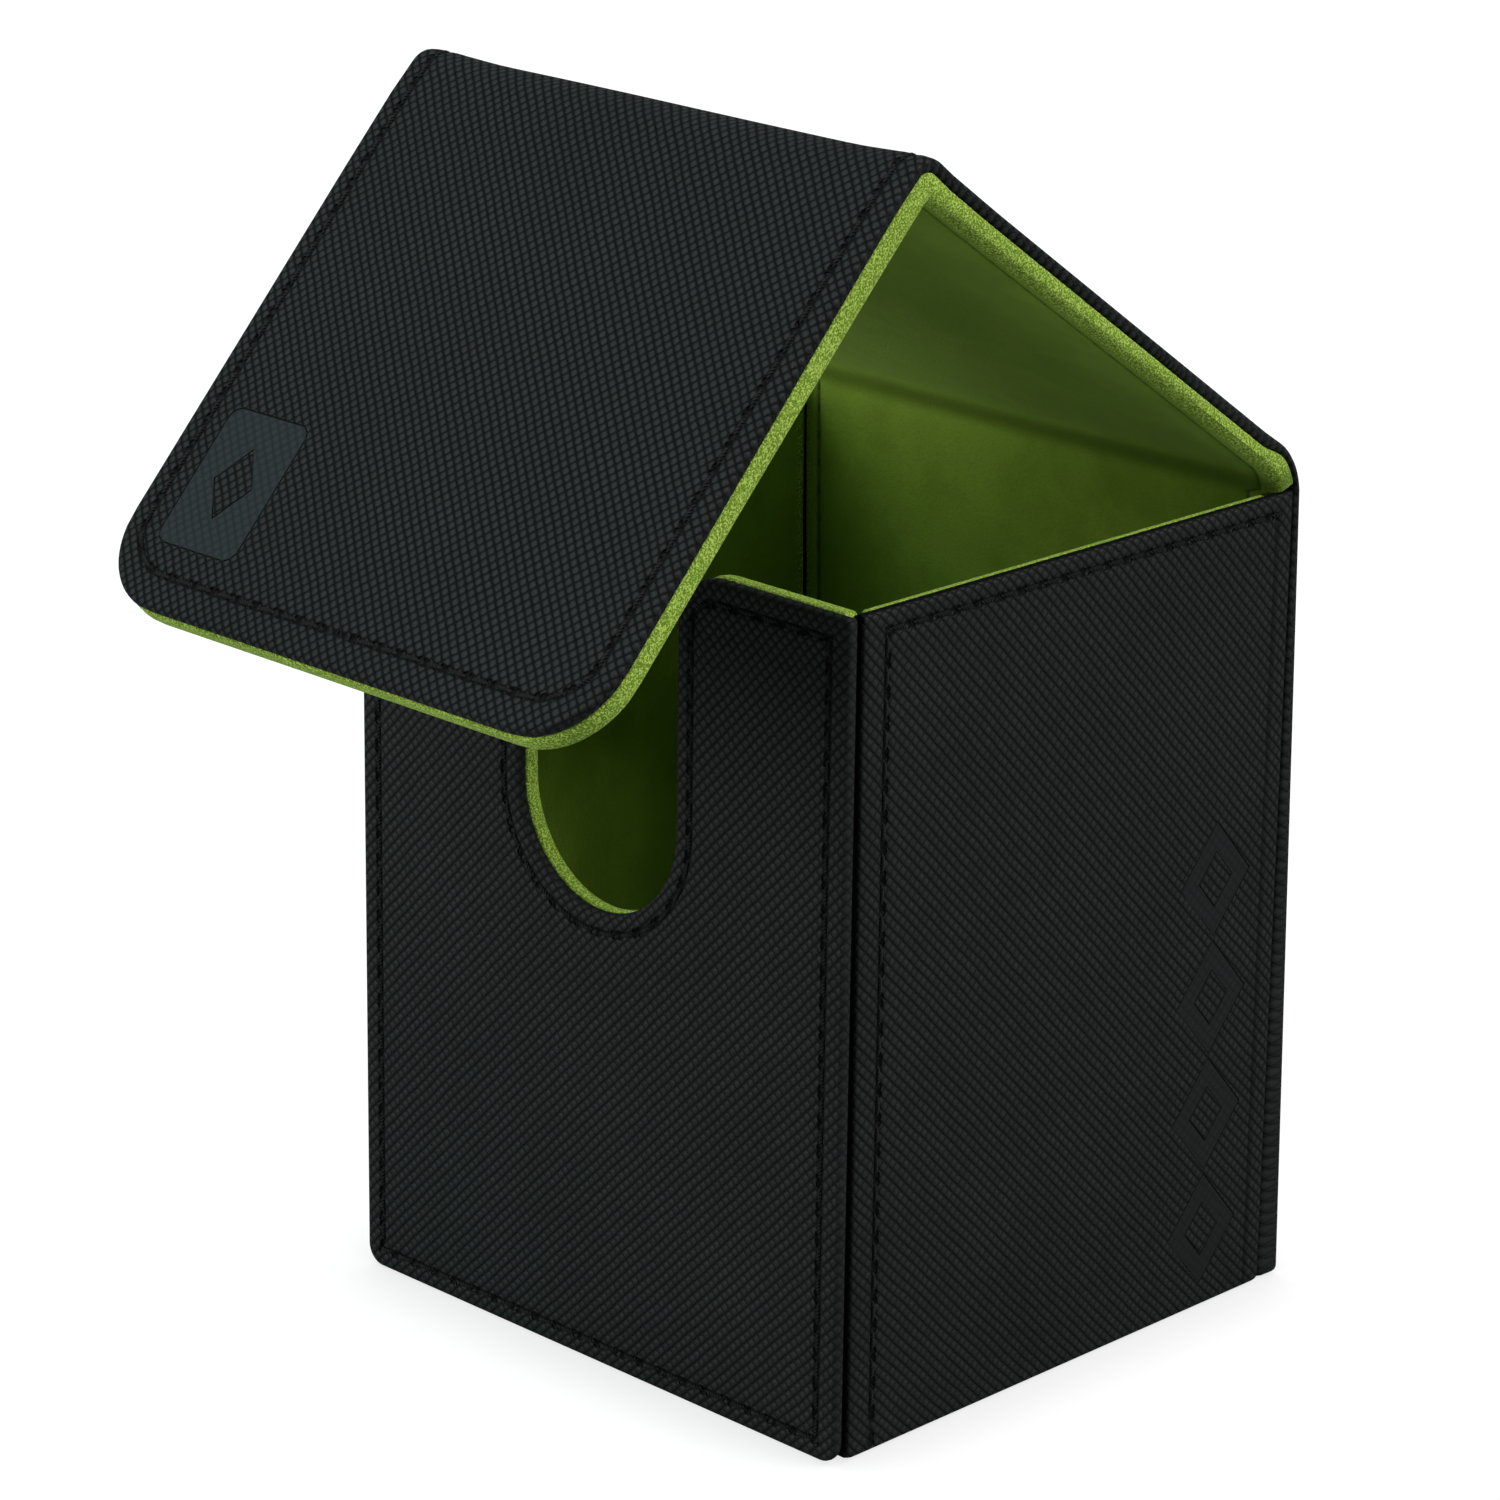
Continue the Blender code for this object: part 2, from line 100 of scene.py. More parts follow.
class FoldedPath:
    """A sheet's path in a plane: straight runs joined by rounded folds.

    place(s, w, a) gives the two plane coordinates at distance s along the unrounded line, w outside it.
    """

    def __init__(self, start, direction, folds):
        # folds: (s, turn, half length of the zone that the fold takes, radius as a function of a)
        self.folds = []
        self.runs = [(0.0, np.array(start, float), np.array(direction, float))]
        for s, turn, reach, radius in folds:
            at, origin, d = self.runs[-1]
            corner = origin + d * (s - at)
            n = self.normal(d)
            self.folds.append((s, turn, reach, radius, corner, d, n))
            self.runs.append((s, corner, d * math.cos(turn) - n * math.sin(turn)))

    @staticmethod
    def normal(d):
        return np.array((d[1], -d[0]))

    def place(self, s, w, a):
        s, w, a = np.broadcast_arrays(np.asarray(s, float), np.asarray(w, float), np.asarray(a, float))
        out = np.zeros(s.shape + (2,))
        for number, (at, origin, d) in enumerate(self.runs):
            here = s >= at if number else np.ones(s.shape, bool)
            spot = origin + (s - at)[..., None] * d + w[..., None] * self.normal(d)
            out = np.where(here[..., None], spot, out)
        for at, turn, reach, radius, corner, d, n in self.folds:
            r = np.maximum(radius(a) + w, 0.8)
            bite = -w * math.tan(turn / 2)
            tangent = r * math.tan(turn / 2)
            lead = np.maximum(reach - bite - tangent, 0.02)
            curve = r * turn
            along = np.clip((s - at + reach) / (2 * reach), 0, 1) * (2 * lead + curve)
            angle = np.clip((along - lead) / r, 0, turn)
            first = corner - bite[..., None] * d + w[..., None] * n
            centre = first - tangent[..., None] * d - r[..., None] * n
            spot = centre + r[..., None] * (np.cos(angle)[..., None] * n + np.sin(angle)[..., None] * d)
            spot = spot + np.minimum(along - lead, 0)[..., None] * d
            last = d * math.cos(turn) - n * math.sin(turn)
            spot = spot + np.maximum(along - lead - curve, 0)[..., None] * last
            out = np.where((abs(s - at) < reach)[..., None], spot, out)
        return out


def ridge_radius(x):
    """The ridge is crisp at its two ends and rounder in the middle."""
    return 2.8 + 1.2 * (1 - smooth(27, 37, abs(x)))


WRAP = FoldedPath((HALF_DEPTH, 0), (0, 1), [
    (REAR_S, REAR_TURN, 7.5, lambda x: 8.5 + 0 * x),
    (RIDGE_S, RIDGE_TURN, 7.5, ridge_radius),
])
STRIP = FoldedPath((-HALF_WIDTH, HEIGHT), (0, -1), [
    (HEIGHT, math.pi / 2, 4.0, lambda y: 0.9 + 0 * y),
    (HEIGHT + 2 * HALF_WIDTH, math.pi / 2, 4.0, lambda y: 0.9 + 0 * y),
])
STRIP_END = 2 * HEIGHT + 2 * HALF_WIDTH


def lean(points):
    """Moves points by the back wall's lean, taken up over the depth of the box."""
    y, z = points[..., 1], points[..., 2]
    shift = np.interp(z, (0, HEIGHT, HEIGHT + 4), (LEAN_BOTTOM, LEAN_TOP, 0))
    moved = points.copy()
    moved[..., 1] = y + shift * np.clip(y / HALF_DEPTH, 0, 1.1)
    return moved


def thinned(s):
    """1 in a panel, less where the leather is a single layer round the rear fold."""
    return 1 - 0.38 * smooth(98, 102, s) * (1 - smooth(106, 112, s))


def outer_lift(s):
    """How far the lid's and the flap's leather stands off the boards' plane."""
    at = (REAR_S - 4, REAR_S + 8, RIDGE_S - 14, RIDGE_S - 5, RIDGE_S, RIDGE_S + 7)
    return np.interp(s, at, (0, -0.35, 0.05, 0.25, 0.6, 1.0))


def inner_lift(s):
    """The same for the face of the flap's lining, which is fuller near the ridge."""
    return np.interp(s, (RIDGE_S, RIDGE_S + 45), (0, 0.5))


def on_wrap(x, s, w):
    x = x - 0.15 * smooth(RIDGE_S, RIDGE_S + 20, s)
    plane = WRAP.place(s, w + 0.10 * ripple(x, s, 90.0, 0.3) * smooth(0, 9, HALF_WIDTH - abs(x)), x)
    return lean(np.stack([np.broadcast_to(x, plane.shape[:-1]), plane[..., 0], plane[..., 1]], -1))


def on_strip(y, s, w):
    """The leather's hidden margin runs on under the front panel, but is short at the back."""
    plane = STRIP.place(s, w, y)
    y = y + (STRIP_REAR_GAP - STRIP_TONGUE) * np.clip((y - STRIP_REAR) / STRIP_TONGUE, 0, 1)
    return np.stack([plane[..., 0], y, plane[..., 1]], -1)


def on_front(x, z, w):
    x, z, w = np.broadcast_arrays(x, z, w)
    return np.stack([x, -HALF_DEPTH - w, z], -1).astype(float)


# ---------------- shells

class Shell:
    """Points and faces gathered into one closed mesh with two UV maps.

    "flat" is the cut sheet in millimetres, "seam" the distance along and in from the seamed edge.
    """

    def __init__(self):
        self.points, self.faces, self.flat, self.seam = [], [], [], []

    def add_points(self, xyz):
        first = len(self.points)
        self.points.extend(np.reshape(xyz, (-1, 3)).tolist())
        return first + np.arange(np.prod(xyz.shape[:-1])).reshape(xyz.shape[:-1])

    def add_patch(self, index, flat, seam):
        def corners(values):
            return np.stack([values[:-1, :-1], values[1:, :-1], values[1:, 1:], values[:-1, 1:]], 2)

        quads = corners(index).reshape(-1, 4)
        self.faces.extend(quads.tolist())
        self.flat.extend(corners(flat).reshape(-1, 2).tolist())
        self.seam.extend(corners(seam).reshape(-1, 2).tolist())

    def add_triangles(self, triangles, index, flat, seam):
        for triangle in triangles:
            self.faces.append([int(index[k]) for k in triangle])
            self.flat.extend(flat[k] for k in triangle)
            self.seam.extend(seam[k] for k in triangle)

    def build(self, name, material, sharp=50):
        mesh = bpy.data.meshes.new(name)
        mesh.from_pydata([[c * MM for c in p] for p in self.points], [], self.faces)
        for layer, values in (("flat", self.flat), ("seam", self.seam)):
            uv = mesh.uv_layers.new(name=layer)
            uv.data.foreach_set("uv", np.array(values, np.float32).ravel())
        editable = bmesh.new()
        editable.from_mesh(mesh)
        bmesh.ops.recalc_face_normals(editable, faces=editable.faces)
        editable.to_mesh(mesh)
        editable.free()
        mesh.shade_smooth()
        mesh.set_sharp_from_angle(angle=math.radians(sharp))
        mesh.materials.append(material)
        obj = bpy.data.objects.new(name, mesh)
        bpy.context.scene.collection.objects.link(obj)
        return obj


def spread(low, high, step):
    """Even stations strictly between two values, no further apart than step."""
    count = max(1, math.ceil((high - low) / step - 1e-9))
    return [low + (high - low) * k / count for k in range(1, count)]


class Axis:
    """Stations across one direction of a grid sheet, with the edge's rings where the edge is free."""

    def __init__(self, low, high, rings, step, free=(True, True), insets=(SEAM, SEAM), extra=(), tongue=0.0):
        first, last = (rings if is_free else (0.0,) for is_free in free)
        start, stop = low + first[-1], high - last[-1]
        middle = sorted({*spread(start, stop, step), *(e for e in extra if start + 0.2 < e < stop - 0.2)})
        at = [low + float(warp(ring, insets[0])) for ring in first] + middle
        at += [high - float(warp(ring, insets[1])) for ring in reversed(last)]
        t = [ring if free[0] else FAR for ring in first]
        t += [min(value - low if free[0] else FAR, high - value if free[1] else FAR) for value in middle]
        t += [ring if free[1] else FAR for ring in reversed(last)]
        if tongue:  # the outermost ring reaches on under the neighbouring panels
            at[0], at[-1] = low - tongue, high + tongue
        self.at, self.t = np.array(at), np.array(t)
        self.low, self.high, self.free, self.insets = low, high, free, insets

    def low_side(self):
        """True where a station belongs to the low end."""
        if not self.free[1]:
            return np.ones(len(self.at), bool)
        if not self.free[0]:
            return np.zeros(len(self.at), bool)
        return self.at < (self.low + self.high) / 2

    def developed(self, drops):
        """Stations as they lie on the cut sheet. drops is how much longer the face is, at DROP_T."""
        sign = np.where(self.low_side(), -1.0, 1.0)
        return self.at + sign * np.where(self.t < FAR, np.interp(self.t, DROP_T, drops), 0)


# The emboss carries on over an edge, so there the two faces lie further out on the cut sheet.
DROP_T = (0, 0.05, 0.15, 0.32, 0.6, 1.0)
FACE_DROPS, BACK_DROPS = (0.42, 0.2, 0.1, 0.05, 0.02, 0), (0.42, 0.7, 1.0, 1.3, 1.6, 2.0)


def grid_shell(shell, across, along, place, top, bottom, radii=(0, 0), run=None):
    """A sheet of varying thickness on a grid. radii rounds the corners at along's low and high end."""
    A, S = np.meshgrid(across.at, along.at, indexing="ij")
    TA, TS = np.meshgrid(across.t, along.t, indexing="ij")
    t = np.minimum(TA, TS)
    low_end = np.broadcast_to(along.low_side()[None, :], S.shape)
    left = np.broadcast_to(across.low_side()[:, None], S.shape)
    turn = np.zeros(S.shape)  # 0 beside the side edge, a quarter turn beside the end edge
    for end, radius in enumerate(radii):
        if not along.free[end] or radius <= 0:
            continue
        zone = (TA < radius) & (TS < radius) & (~low_end if end else low_end)
        with np.errstate(divide="ignore", invalid="ignore"):
            angle = np.where(TA <= TS, (math.pi / 4) * (radius - TS) / np.maximum(radius - TA, 1e-9),
                             math.pi / 2 - (math.pi / 4) * (radius - TA) / np.maximum(radius - TS, 1e-9))
        angle = np.clip(angle, 0, math.pi / 2)
        out_a = (radius - np.where(left, *(warp(t, inset) for inset in across.insets))) * np.cos(angle)
        out_s = (radius - warp(t, along.insets[end])) * np.sin(angle)
        A = np.where(zone, np.where(left, across.low + radius - out_a, across.high - radius + out_a), A)
        S = np.where(zone, along.high - radius + out_s if end else along.low + radius - out_s, S)
        turn = np.where(zone, angle, turn)
    upper = shell.add_points(place(A, S, top(t, A, S)))
    lower = shell.add_points(place(A, S, bottom(t, A, S)))
    lower = np.where(t <= 0, upper, lower)
    seam = np.stack([run(A, S, TA, TS, turn) if run else S, t], -1)
    for index, drops in ((upper, FACE_DROPS), (lower, BACK_DROPS)):
        U, V = np.meshgrid(across.developed(drops), along.developed(drops), indexing="ij")
        U, V = U + (A - across.at[:, None]), V + (S - along.at[None, :])
        shell.add_patch(index, np.stack([U, V], -1), seam)
    flat = np.stack([A, S], -1)
    for free, column in zip(along.free, (np.s_[:, :1], np.s_[:, -1:])):
        if not free:  # close the cut end
            shell.add_patch(*(np.hstack([over[column], under[column]])
                              for over, under in ((upper, lower), (flat, flat), (seam, seam))))


# ---------------- edge profiles

LEATHER_RINGS = (0, 0.05, 0.15, 0.32, 0.6, 0.84, 1.0, 1.4, 1.9, SEAM - 0.7, SEAM - 0.42, SEAM - 0.2, SEAM,
                 SEAM + 0.2, SEAM + 0.42, SEAM + 0.7, 4.4, 5.4, 6.6, 8.0)
EDGE_T = (0, 0.05, 0.15, 0.32, 0.6, 1.0, 1.6)
LEATHER_EDGE = 1.5  # thickness of the turned edge
LEATHER_SKIN = 0.9  # and of the single skin over the board
CHANNEL_DEPTH = 0.26


def leather_top(t, a=0, s=0, channel=1.0):
    rounded = np.interp(t, EDGE_T, (-0.75, -0.42, -0.22, -0.09, -0.02, 0.02, 0.03))
    groove = np.exp(-((t - SEAM) / 0.34) ** 2)
    pillow = 0.05 * np.exp(-((t - 1.8) / 0.6) ** 2) + 0.04 * np.exp(-((t - 4.2) / 0.7) ** 2)
    return rounded + channel * (pillow - CHANNEL_DEPTH * groove)


def leather_bottom(t, a=0, s=0):
    return np.interp(t, (0, 0.05, 0.15, 0.32, 0.6, 0.84, 1.0, 500),
                     (-0.75, -1.08, -1.28, -1.42, -1.5, -1.5, -LEATHER_SKIN, -LEATHER_SKIN))


LINING_RINGS = (0, 0.06, 0.2, 0.42, 0.75, 1.0, 1.5, 2.0,
                SEAM - 0.7, SEAM - 0.4, SEAM, SEAM + 0.4, SEAM + 0.7, 4.4, 5.6, 7.0, 8.0)


def lining_profiles(face, channel=0.0, round_over=0.75):
    """Profiles of a lining between the leather's turned edge and w = face."""
    edge = -(LEATHER_EDGE + 0.04)
    middle = (edge + face) / 2
    drop = middle - face

    def inner(t, a=0, s=0):
        k = np.clip(t / round_over, 0, 1)
        surface = face + drop * (1 - np.sqrt(np.clip(1 - (1 - k) ** 2, 0, 1)))
        return surface + channel * 0.35 * np.exp(-((t - SEAM) / 0.5) ** 2)

    def outer(t, a=0, s=0):
        return np.interp(t, (0, 0.06, 0.2, 0.42, 0.75, 1.0, 500),
                         (middle, edge - 0.30, edge - 0.08, edge, edge, -2.25, -2.25))

    return outer, inner


# ---------------- shader graphs

class Graph:
    """A node material with its Principled shader, and short ways to add nodes."""

    def __init__(self, name):
        self.material = bpy.data.materials.new(name)
        self.material.use_nodes = True
        self.tree = self.material.node_tree
        self.shader = self.tree.nodes["Principled BSDF"]

    def put(self, socket, value):
        if isinstance(value, bpy.types.NodeSocket):
            self.tree.links.new(value, socket)
        elif value is not None:
            socket.default_value = value

    def node(self, kind, inputs=(), **settings):
        made = self.tree.nodes.new(kind)
        for key, value in settings.items():
            setattr(made, key, value)
        for key, value in dict(inputs).items():
            self.put(made.inputs[key], value)
        return made

    def math(self, operation, *values):
        return self.node("ShaderNodeMath", dict(enumerate(values)), operation=operation).outputs[0]

    plus, minus = partialmethod(math, "ADD"), partialmethod(math, "SUBTRACT")
    times, over = partialmethod(math, "MULTIPLY"), partialmethod(math, "DIVIDE")
    times_plus, size = partialmethod(math, "MULTIPLY_ADD"), partialmethod(math, "ABSOLUTE")

    def blend(self, factor, a, b, kind="MIX"):
        inputs = {0: factor, 6: a, 7: b}
        return self.node("ShaderNodeMix", inputs, data_type="RGBA", blend_type=kind).outputs[2]

    def shaded(self, tint, shade):
        """tint times a grey as light as shade."""
        grey = self.node("ShaderNodeCombineColor", {0: shade, 1: shade, 2: shade}).outputs[0]
        return self.blend(1.0, tint, grey, "MULTIPLY")

    def ramp(self, value, low, high, to_low=0.0, to_high=1.0):
        inputs = {0: value, 1: low, 2: high, 3: to_low, 4: to_high}
        return self.node("ShaderNodeMapRange", inputs, interpolation_type="SMOOTHSTEP").outputs[0]

    def noise(self, vector, scale, detail=2.0, roughness=0.5, distortion=0.0):
        made = self.node("ShaderNodeTexNoise", {"Vector": vector, "Scale": scale, "Detail": detail,
                                                "Roughness": roughness, "Distortion": distortion})
        return made.outputs["Fac"]

    def uv(self, layer):
        made = self.node("ShaderNodeUVMap", uv_map=layer)
        parts = self.node("ShaderNodeSeparateXYZ", {0: made.outputs[0]})
        return made.outputs[0], parts.outputs[0], parts.outputs[1]

    def bump(self, height, distance, normal=None):
        inputs = {"Height": height, "Distance": distance, "Strength": 1.0, "Normal": normal}
        return self.node("ShaderNodeBump", inputs).outputs[0]

    def finish(self, inputs):
        """Gives the shader its inputs and returns the material."""
        for name, value in inputs.items():
            self.put(self.shader.inputs[name], value)
        return self.material


def colour(r, g, b):
    return (r, g, b, 1.0)


BODY_COLOUR = (0.0168, 0.0194, 0.0190)
CELL = 1.05  # distance between the emboss lines, which run at 45 degrees both ways
HOLE_GAP = (STITCH_PITCH - STITCH_LENGTH) / 2  # a needle hole's distance from the middle of a gap


def box_mask(g, u, v, centre, half, radius, softness=0.12):
    """1 inside a rounded rectangle, 0 outside."""
    du, dv = (g.minus(g.size(g.minus(value, middle)), reach - radius)
              for value, middle, reach in zip((u, v), centre, half))
    outside = g.math("SQRT", g.plus(g.math("POWER", g.math("MAXIMUM", du, 0.0), 2.0),
                                    g.math("POWER", g.math("MAXIMUM", dv, 0.0), 2.0)))
    inside = g.math("MINIMUM", g.math("MAXIMUM", du, dv), 0.0)
    return g.ramp(g.minus(g.plus(outside, inside), radius), -softness, softness, 1.0, 0.0)


def diamond_mask(g, u, v, centre, half, softness=0.10):
    """1 inside a diamond, 0 outside."""
    du, dv = (g.over(g.size(g.minus(value, middle)), reach)
              for value, middle, reach in zip((u, v), centre, half))
    distance = g.times(g.minus(g.plus(du, dv), 1.0), min(half) * 0.75)
    return g.ramp(distance, -softness, softness, 1.0, 0.0)


def stitch_gap(g, run):
    """Distance along a seam from the middle of the nearest gap between two stitches."""
    cycle = g.minus(g.math("FRACT", g.over(run, STITCH_PITCH)), 0.5)
    return g.times(g.minus(0.5, g.size(cycle)), STITCH_PITCH)


def leather_material(name, marks=None, mark_tone=None, twill=(0.85, 1.0), contrast=1.0, painted_edge_shade=False):
    """twill is how deep the lines of each diagonal are, and contrast how deep the bump and how dark the
    painted shade in the emboss grooves; the last flag paints shade on the panel's own rounded edges.
    """
    g = Graph(name)
    flat, u, v = g.uv("flat")
    _, run, t = g.uv("seam")
    # Two sets of pressed lines, wandering a little as real grain does.
    wander = g.times(g.minus(g.noise(flat, 0.22, 2.0), 0.5), 0.45)
    phases = [g.times(g.plus(g.math(way, u, v), wander), math.pi / (CELL * math.sqrt(2)))
              for way in ("ADD", "SUBTRACT")]
    lines = [g.times_plus(g.size(g.math("SINE", phase)), depth, 1 - depth)
             for phase, depth in zip(phases, twill)]
    cell = g.math("POWER", g.times(*lines), 0.6)
    # Each cell differs slightly in height and shine.
    cell_id = g.node("ShaderNodeCombineXYZ", dict(enumerate(
        g.math("FLOOR", g.over(phase, math.pi)) for phase in phases)))
    each = g.node("ShaderNodeTexWhiteNoise", {"Vector": cell_id.outputs[0]}, noise_dimensions="2D")
    cell_random = each.outputs["Value"]
    grain = g.noise(flat, 5.5, 3.0, 0.6)
    fine = g.noise(flat, 14.0, 2.0, 0.6)
    patches = g.noise(flat, 0.045, 3.0, 0.55)
    rise = g.times(cell, g.times_plus(cell_random, 0.35, 0.75))
    rise = g.times(rise, g.ramp(t, 0.0, 0.6, 0.75, 1.0))  # the emboss is rubbed down on the edges
    mark = marks(g, u, v) if marks else None
    if marks:
        rise = g.times(rise, g.minus(1.0, g.times(mark, 0.93)))
    rise = g.times_plus(fine, 0.04, g.times_plus(grain, 0.10, rise))

    tone = g.times_plus(cell_random, 0.25, g.times_plus(patches, 0.5, 0.55))
    # Painted shade: the emboss grooves are darkened in colour, more so with a higher contrast.
    painted_groove_shade = colour(*(c * (1 - 0.90 * contrast) for c in BODY_COLOUR))
    body = g.shaded(g.blend(g.ramp(cell, 0.28, 0.90), painted_groove_shade, colour(*BODY_COLOUR)), tone)
    worn = g.times(g.ramp(t, 0.0, 0.5, 1.0, 0.0), g.ramp(patches, 0.35, 0.7, 0.15, 0.55))
    body = g.blend(worn, body, colour(0.015, 0.017, 0.018))
    # Painted shade on the panel's own rounded edges, darkest at the very edge.
    if painted_edge_shade:
        body = g.blend(g.ramp(t, 0.02, 0.30, 0.90, 0.0), body, colour(0.0004, 0.0004, 0.0005))
    rough = g.times_plus(g.ramp(cell, 0.3, 0.9), -0.32, 0.80)
    rough = g.times_plus(g.minus(grain, 0.5), 0.22, rough)
    if marks:
        body = g.blend(g.times(mark, 0.85), body, mark_tone)
        rough = g.times_plus(mark, -0.04, rough)

    # The stitch channel, and the needle holes at the two ends of every stitch. Both are darkened with painted
    # shade, and the bump dents the holes as well.
    ends = g.size(g.minus(stitch_gap(g, run), HOLE_GAP))
    off = g.minus(t, SEAM)
    radius = g.math("SQRT", g.plus(g.math("POWER", ends, 2.0), g.math("POWER", off, 2.0)))
    hole = g.ramp(radius, 0.38, 0.66, 1.0, 0.0)
    painted_channel_shade = g.ramp(g.size(off), 0.20, 0.55, 1.0, 0.0)
    shade = g.times(g.minus(1.0, g.times(painted_channel_shade, 0.70)), g.minus(1.0, g.times(hole, 0.95)))
    normal = g.bump(g.times_plus(hole, -2.0, rise), 0.00032 * contrast)
    if marks:
        normal = g.bump(mark, -0.00030, normal)
    return g.finish({"Base Color": g.shaded(body, shade), "Roughness": g.math("MAXIMUM", rough, 0.25),
                     "Specular IOR Level": 0.14, "Normal": normal})


def suede_material(name, sewn=False):
    """Microsuede. sewn adds the pressed line and dashes where the lid's stitches come through, and a painted
    shade along the crease of the rear fold.
    """
    g = Graph(name)
    place = g.node("ShaderNodeTexCoord").outputs["Object"]
    nap = g.noise(place, 130.0, 3.0, 0.6, 0.4)  # brushed patches a centimetre across
    drift = g.noise(place, 34.0, 2.0, 0.5)
    tuft = g.noise(place, 2600.0, 2.0, 0.65)
    fibre = g.noise(place, 7500.0, 2.0, 0.7)
    brushed = g.times_plus(drift, 0.55, g.times(nap, 0.45))
    body = g.blend(g.ramp(brushed, 0.36, 0.64), colour(0.176, 0.288, 0.025), colour(0.250, 0.388, 0.044))
    body = g.blend(g.ramp(tuft, 0.30, 0.60, 0.30, 0.0), body, colour(0.150, 0.250, 0.020))
    body = g.blend(g.ramp(fibre, 0.52, 0.78, 0.0, 0.25), body, colour(0.480, 0.630, 0.170))
    # The cut edges are raw and granular.
    _, run, t = g.uv("seam")
    edge = g.ramp(t, 0.9, 2.0, 1.0, 0.0)
    grain = g.noise(place, 4300.0, 2.0, 0.7)
    for speckle, tint in ((g.ramp(grain, 0.40, 0.52, 0.80, 0.0), colour(0.110, 0.200, 0.012)),
                          (g.ramp(grain, 0.49, 0.60, 0.0, 0.85), colour(0.560, 0.770, 0.150))):
        body = g.blend(g.times(edge, speckle), body, tint)
    if sewn:
        _, _, along = g.uv("flat")
        # Painted shade along the crease of the rear fold, where the lid's lining meets the back's.
        painted_fold_shade = g.ramp(g.size(g.minus(along, REAR_S - 1.5)), 0.2, 3.2, 0.72, 0.0)
        body = g.blend(painted_fold_shade, body, colour(0.060, 0.105, 0.008))
        dash = g.ramp(stitch_gap(g, run), HOLE_GAP, HOLE_GAP + 0.3)
        line = g.ramp(g.size(g.minus(t, SEAM)), 0.12, 0.50, 1.0, 0.0)
        body = g.blend(g.times(line, g.times_plus(dash, -0.22, 0.92)), body, colour(0.040, 0.075, 0.006))
    return g.finish({"Base Color": body, "Roughness": g.ramp(tuft, 0.2, 0.8, 0.86, 1.0),
                     "Specular IOR Level": 0.12, "Sheen Weight": 0.35, "Sheen Roughness": 0.45,
                     "Sheen Tint": colour(0.62, 0.85, 0.25),
                     "Normal": g.bump(g.times_plus(fibre, 0.4, tuft), 0.00012)})


def thread_material(name):
    g = Graph(name)
    flat, u, v = g.uv("flat")
    twist = g.math("SINE", g.times_plus(u, 6 * math.pi, g.times(v, 2 * math.pi / 0.42)))
    lint = g.noise(flat, 6.0, 2.0, 0.6)
    body = g.blend(g.ramp(twist, -0.9, 0.6), colour(0.0006, 0.0007, 0.0007), colour(0.0024, 0.0027, 0.0028))
    body = g.blend(g.ramp(lint, 0.45, 0.8, 0.0, 0.4), body, colour(0.005, 0.006, 0.006))
    return g.finish({"Base Color": body, "Roughness": g.ramp(lint, 0.2, 0.8, 0.45, 0.65),
                     "Specular IOR Level": 0.15, "Sheen Weight": 0.03, "Normal": g.bump(twist, 0.00006)})


def greyboard_material(name):
    g = Graph(name)
    place = g.node("ShaderNodeTexCoord").outputs["Object"]
    pulp = g.noise(place, 900.0, 4.0, 0.65)
    fleck = g.noise(place, 300.0, 2.0, 0.5)
    body = g.blend(pulp, colour(0.20, 0.18, 0.15), colour(0.36, 0.33, 0.28))
    body = g.blend(g.ramp(fleck, 0.6, 0.72, 0.0, 0.6), body, colour(0.10, 0.09, 0.08))
    return g.finish({"Base Color": body, "Roughness": g.ramp(pulp, 0.2, 0.8, 0.82, 0.96),
                     "Normal": g.bump(pulp, 0.00008)})


def magnet_material(name):
    g = Graph(name)
    plating = g.noise(g.node("ShaderNodeTexCoord").outputs["Object"], 1200.0, 3.0, 0.6)
    body = g.blend(plating, colour(0.50, 0.50, 0.51), colour(0.62, 0.62, 0.63))
    return g.finish({"Base Color": body, "Metallic": 1.0, "Roughness": g.ramp(plating, 0.2, 0.8, 0.22, 0.38),
                     "Normal": g.bump(plating, 0.00002)})


FLAP_MARK = (-27.5, RIDGE_S + 58.6)  # x and s of its middle
SIDE_MARK_Y, SIDE_MARK_HEIGHTS = 25.5, (10.5, 25.5, 40.5, 55.5)


def flap_marks(g, u, v):
    """A plain playing-card outline with a textured pip, pressed into the flap's lower left corner."""
    card = box_mask(g, u, v, FLAP_MARK, (6.6, 9.0), 1.8)
    return g.times(card, g.minus(1.0, diamond_mask(g, u, v, FLAP_MARK, (3.2, 4.6))))


def side_marks(g, u, v):
    """A column of plain diamonds pressed into the right side, near its back edge."""
    total = 0.0
    for height in SIDE_MARK_HEIGHTS:
        centre = (SIDE_MARK_Y, HEIGHT + 2 * HALF_WIDTH + height)
        outer, inner = (diamond_mask(g, u, v, centre, half) for half in ((6.2, 7.2), (3.0, 3.5)))
        total = g.math("MAXIMUM", total, g.times(outer, g.minus(1.0, inner)))
    return total


# contrast also sets how dark the painted shade in the emboss grooves is; the flap's copy takes the most.
leather = leather_material("leather", contrast=0.74)
leather_flap = leather_material("leather_flap", flap_marks, colour(0.0125, 0.0180, 0.0195), contrast=1.08)
leather_side = leather_material("leather_side", side_marks, colour(0.0104, 0.0120, 0.0122),
                                twill=(1.0, 0.85), contrast=0.76, painted_edge_shade=True)
suede = suede_material("suede")
suede_sewn_and_fold_shade = suede_material("suede_sewn_and_fold_shade", sewn=True)
thread = thread_material("thread")
greyboard = greyboard_material("greyboard")
plating = magnet_material("magnet_plating")


# ---------------- the wrap: back, lid and flap

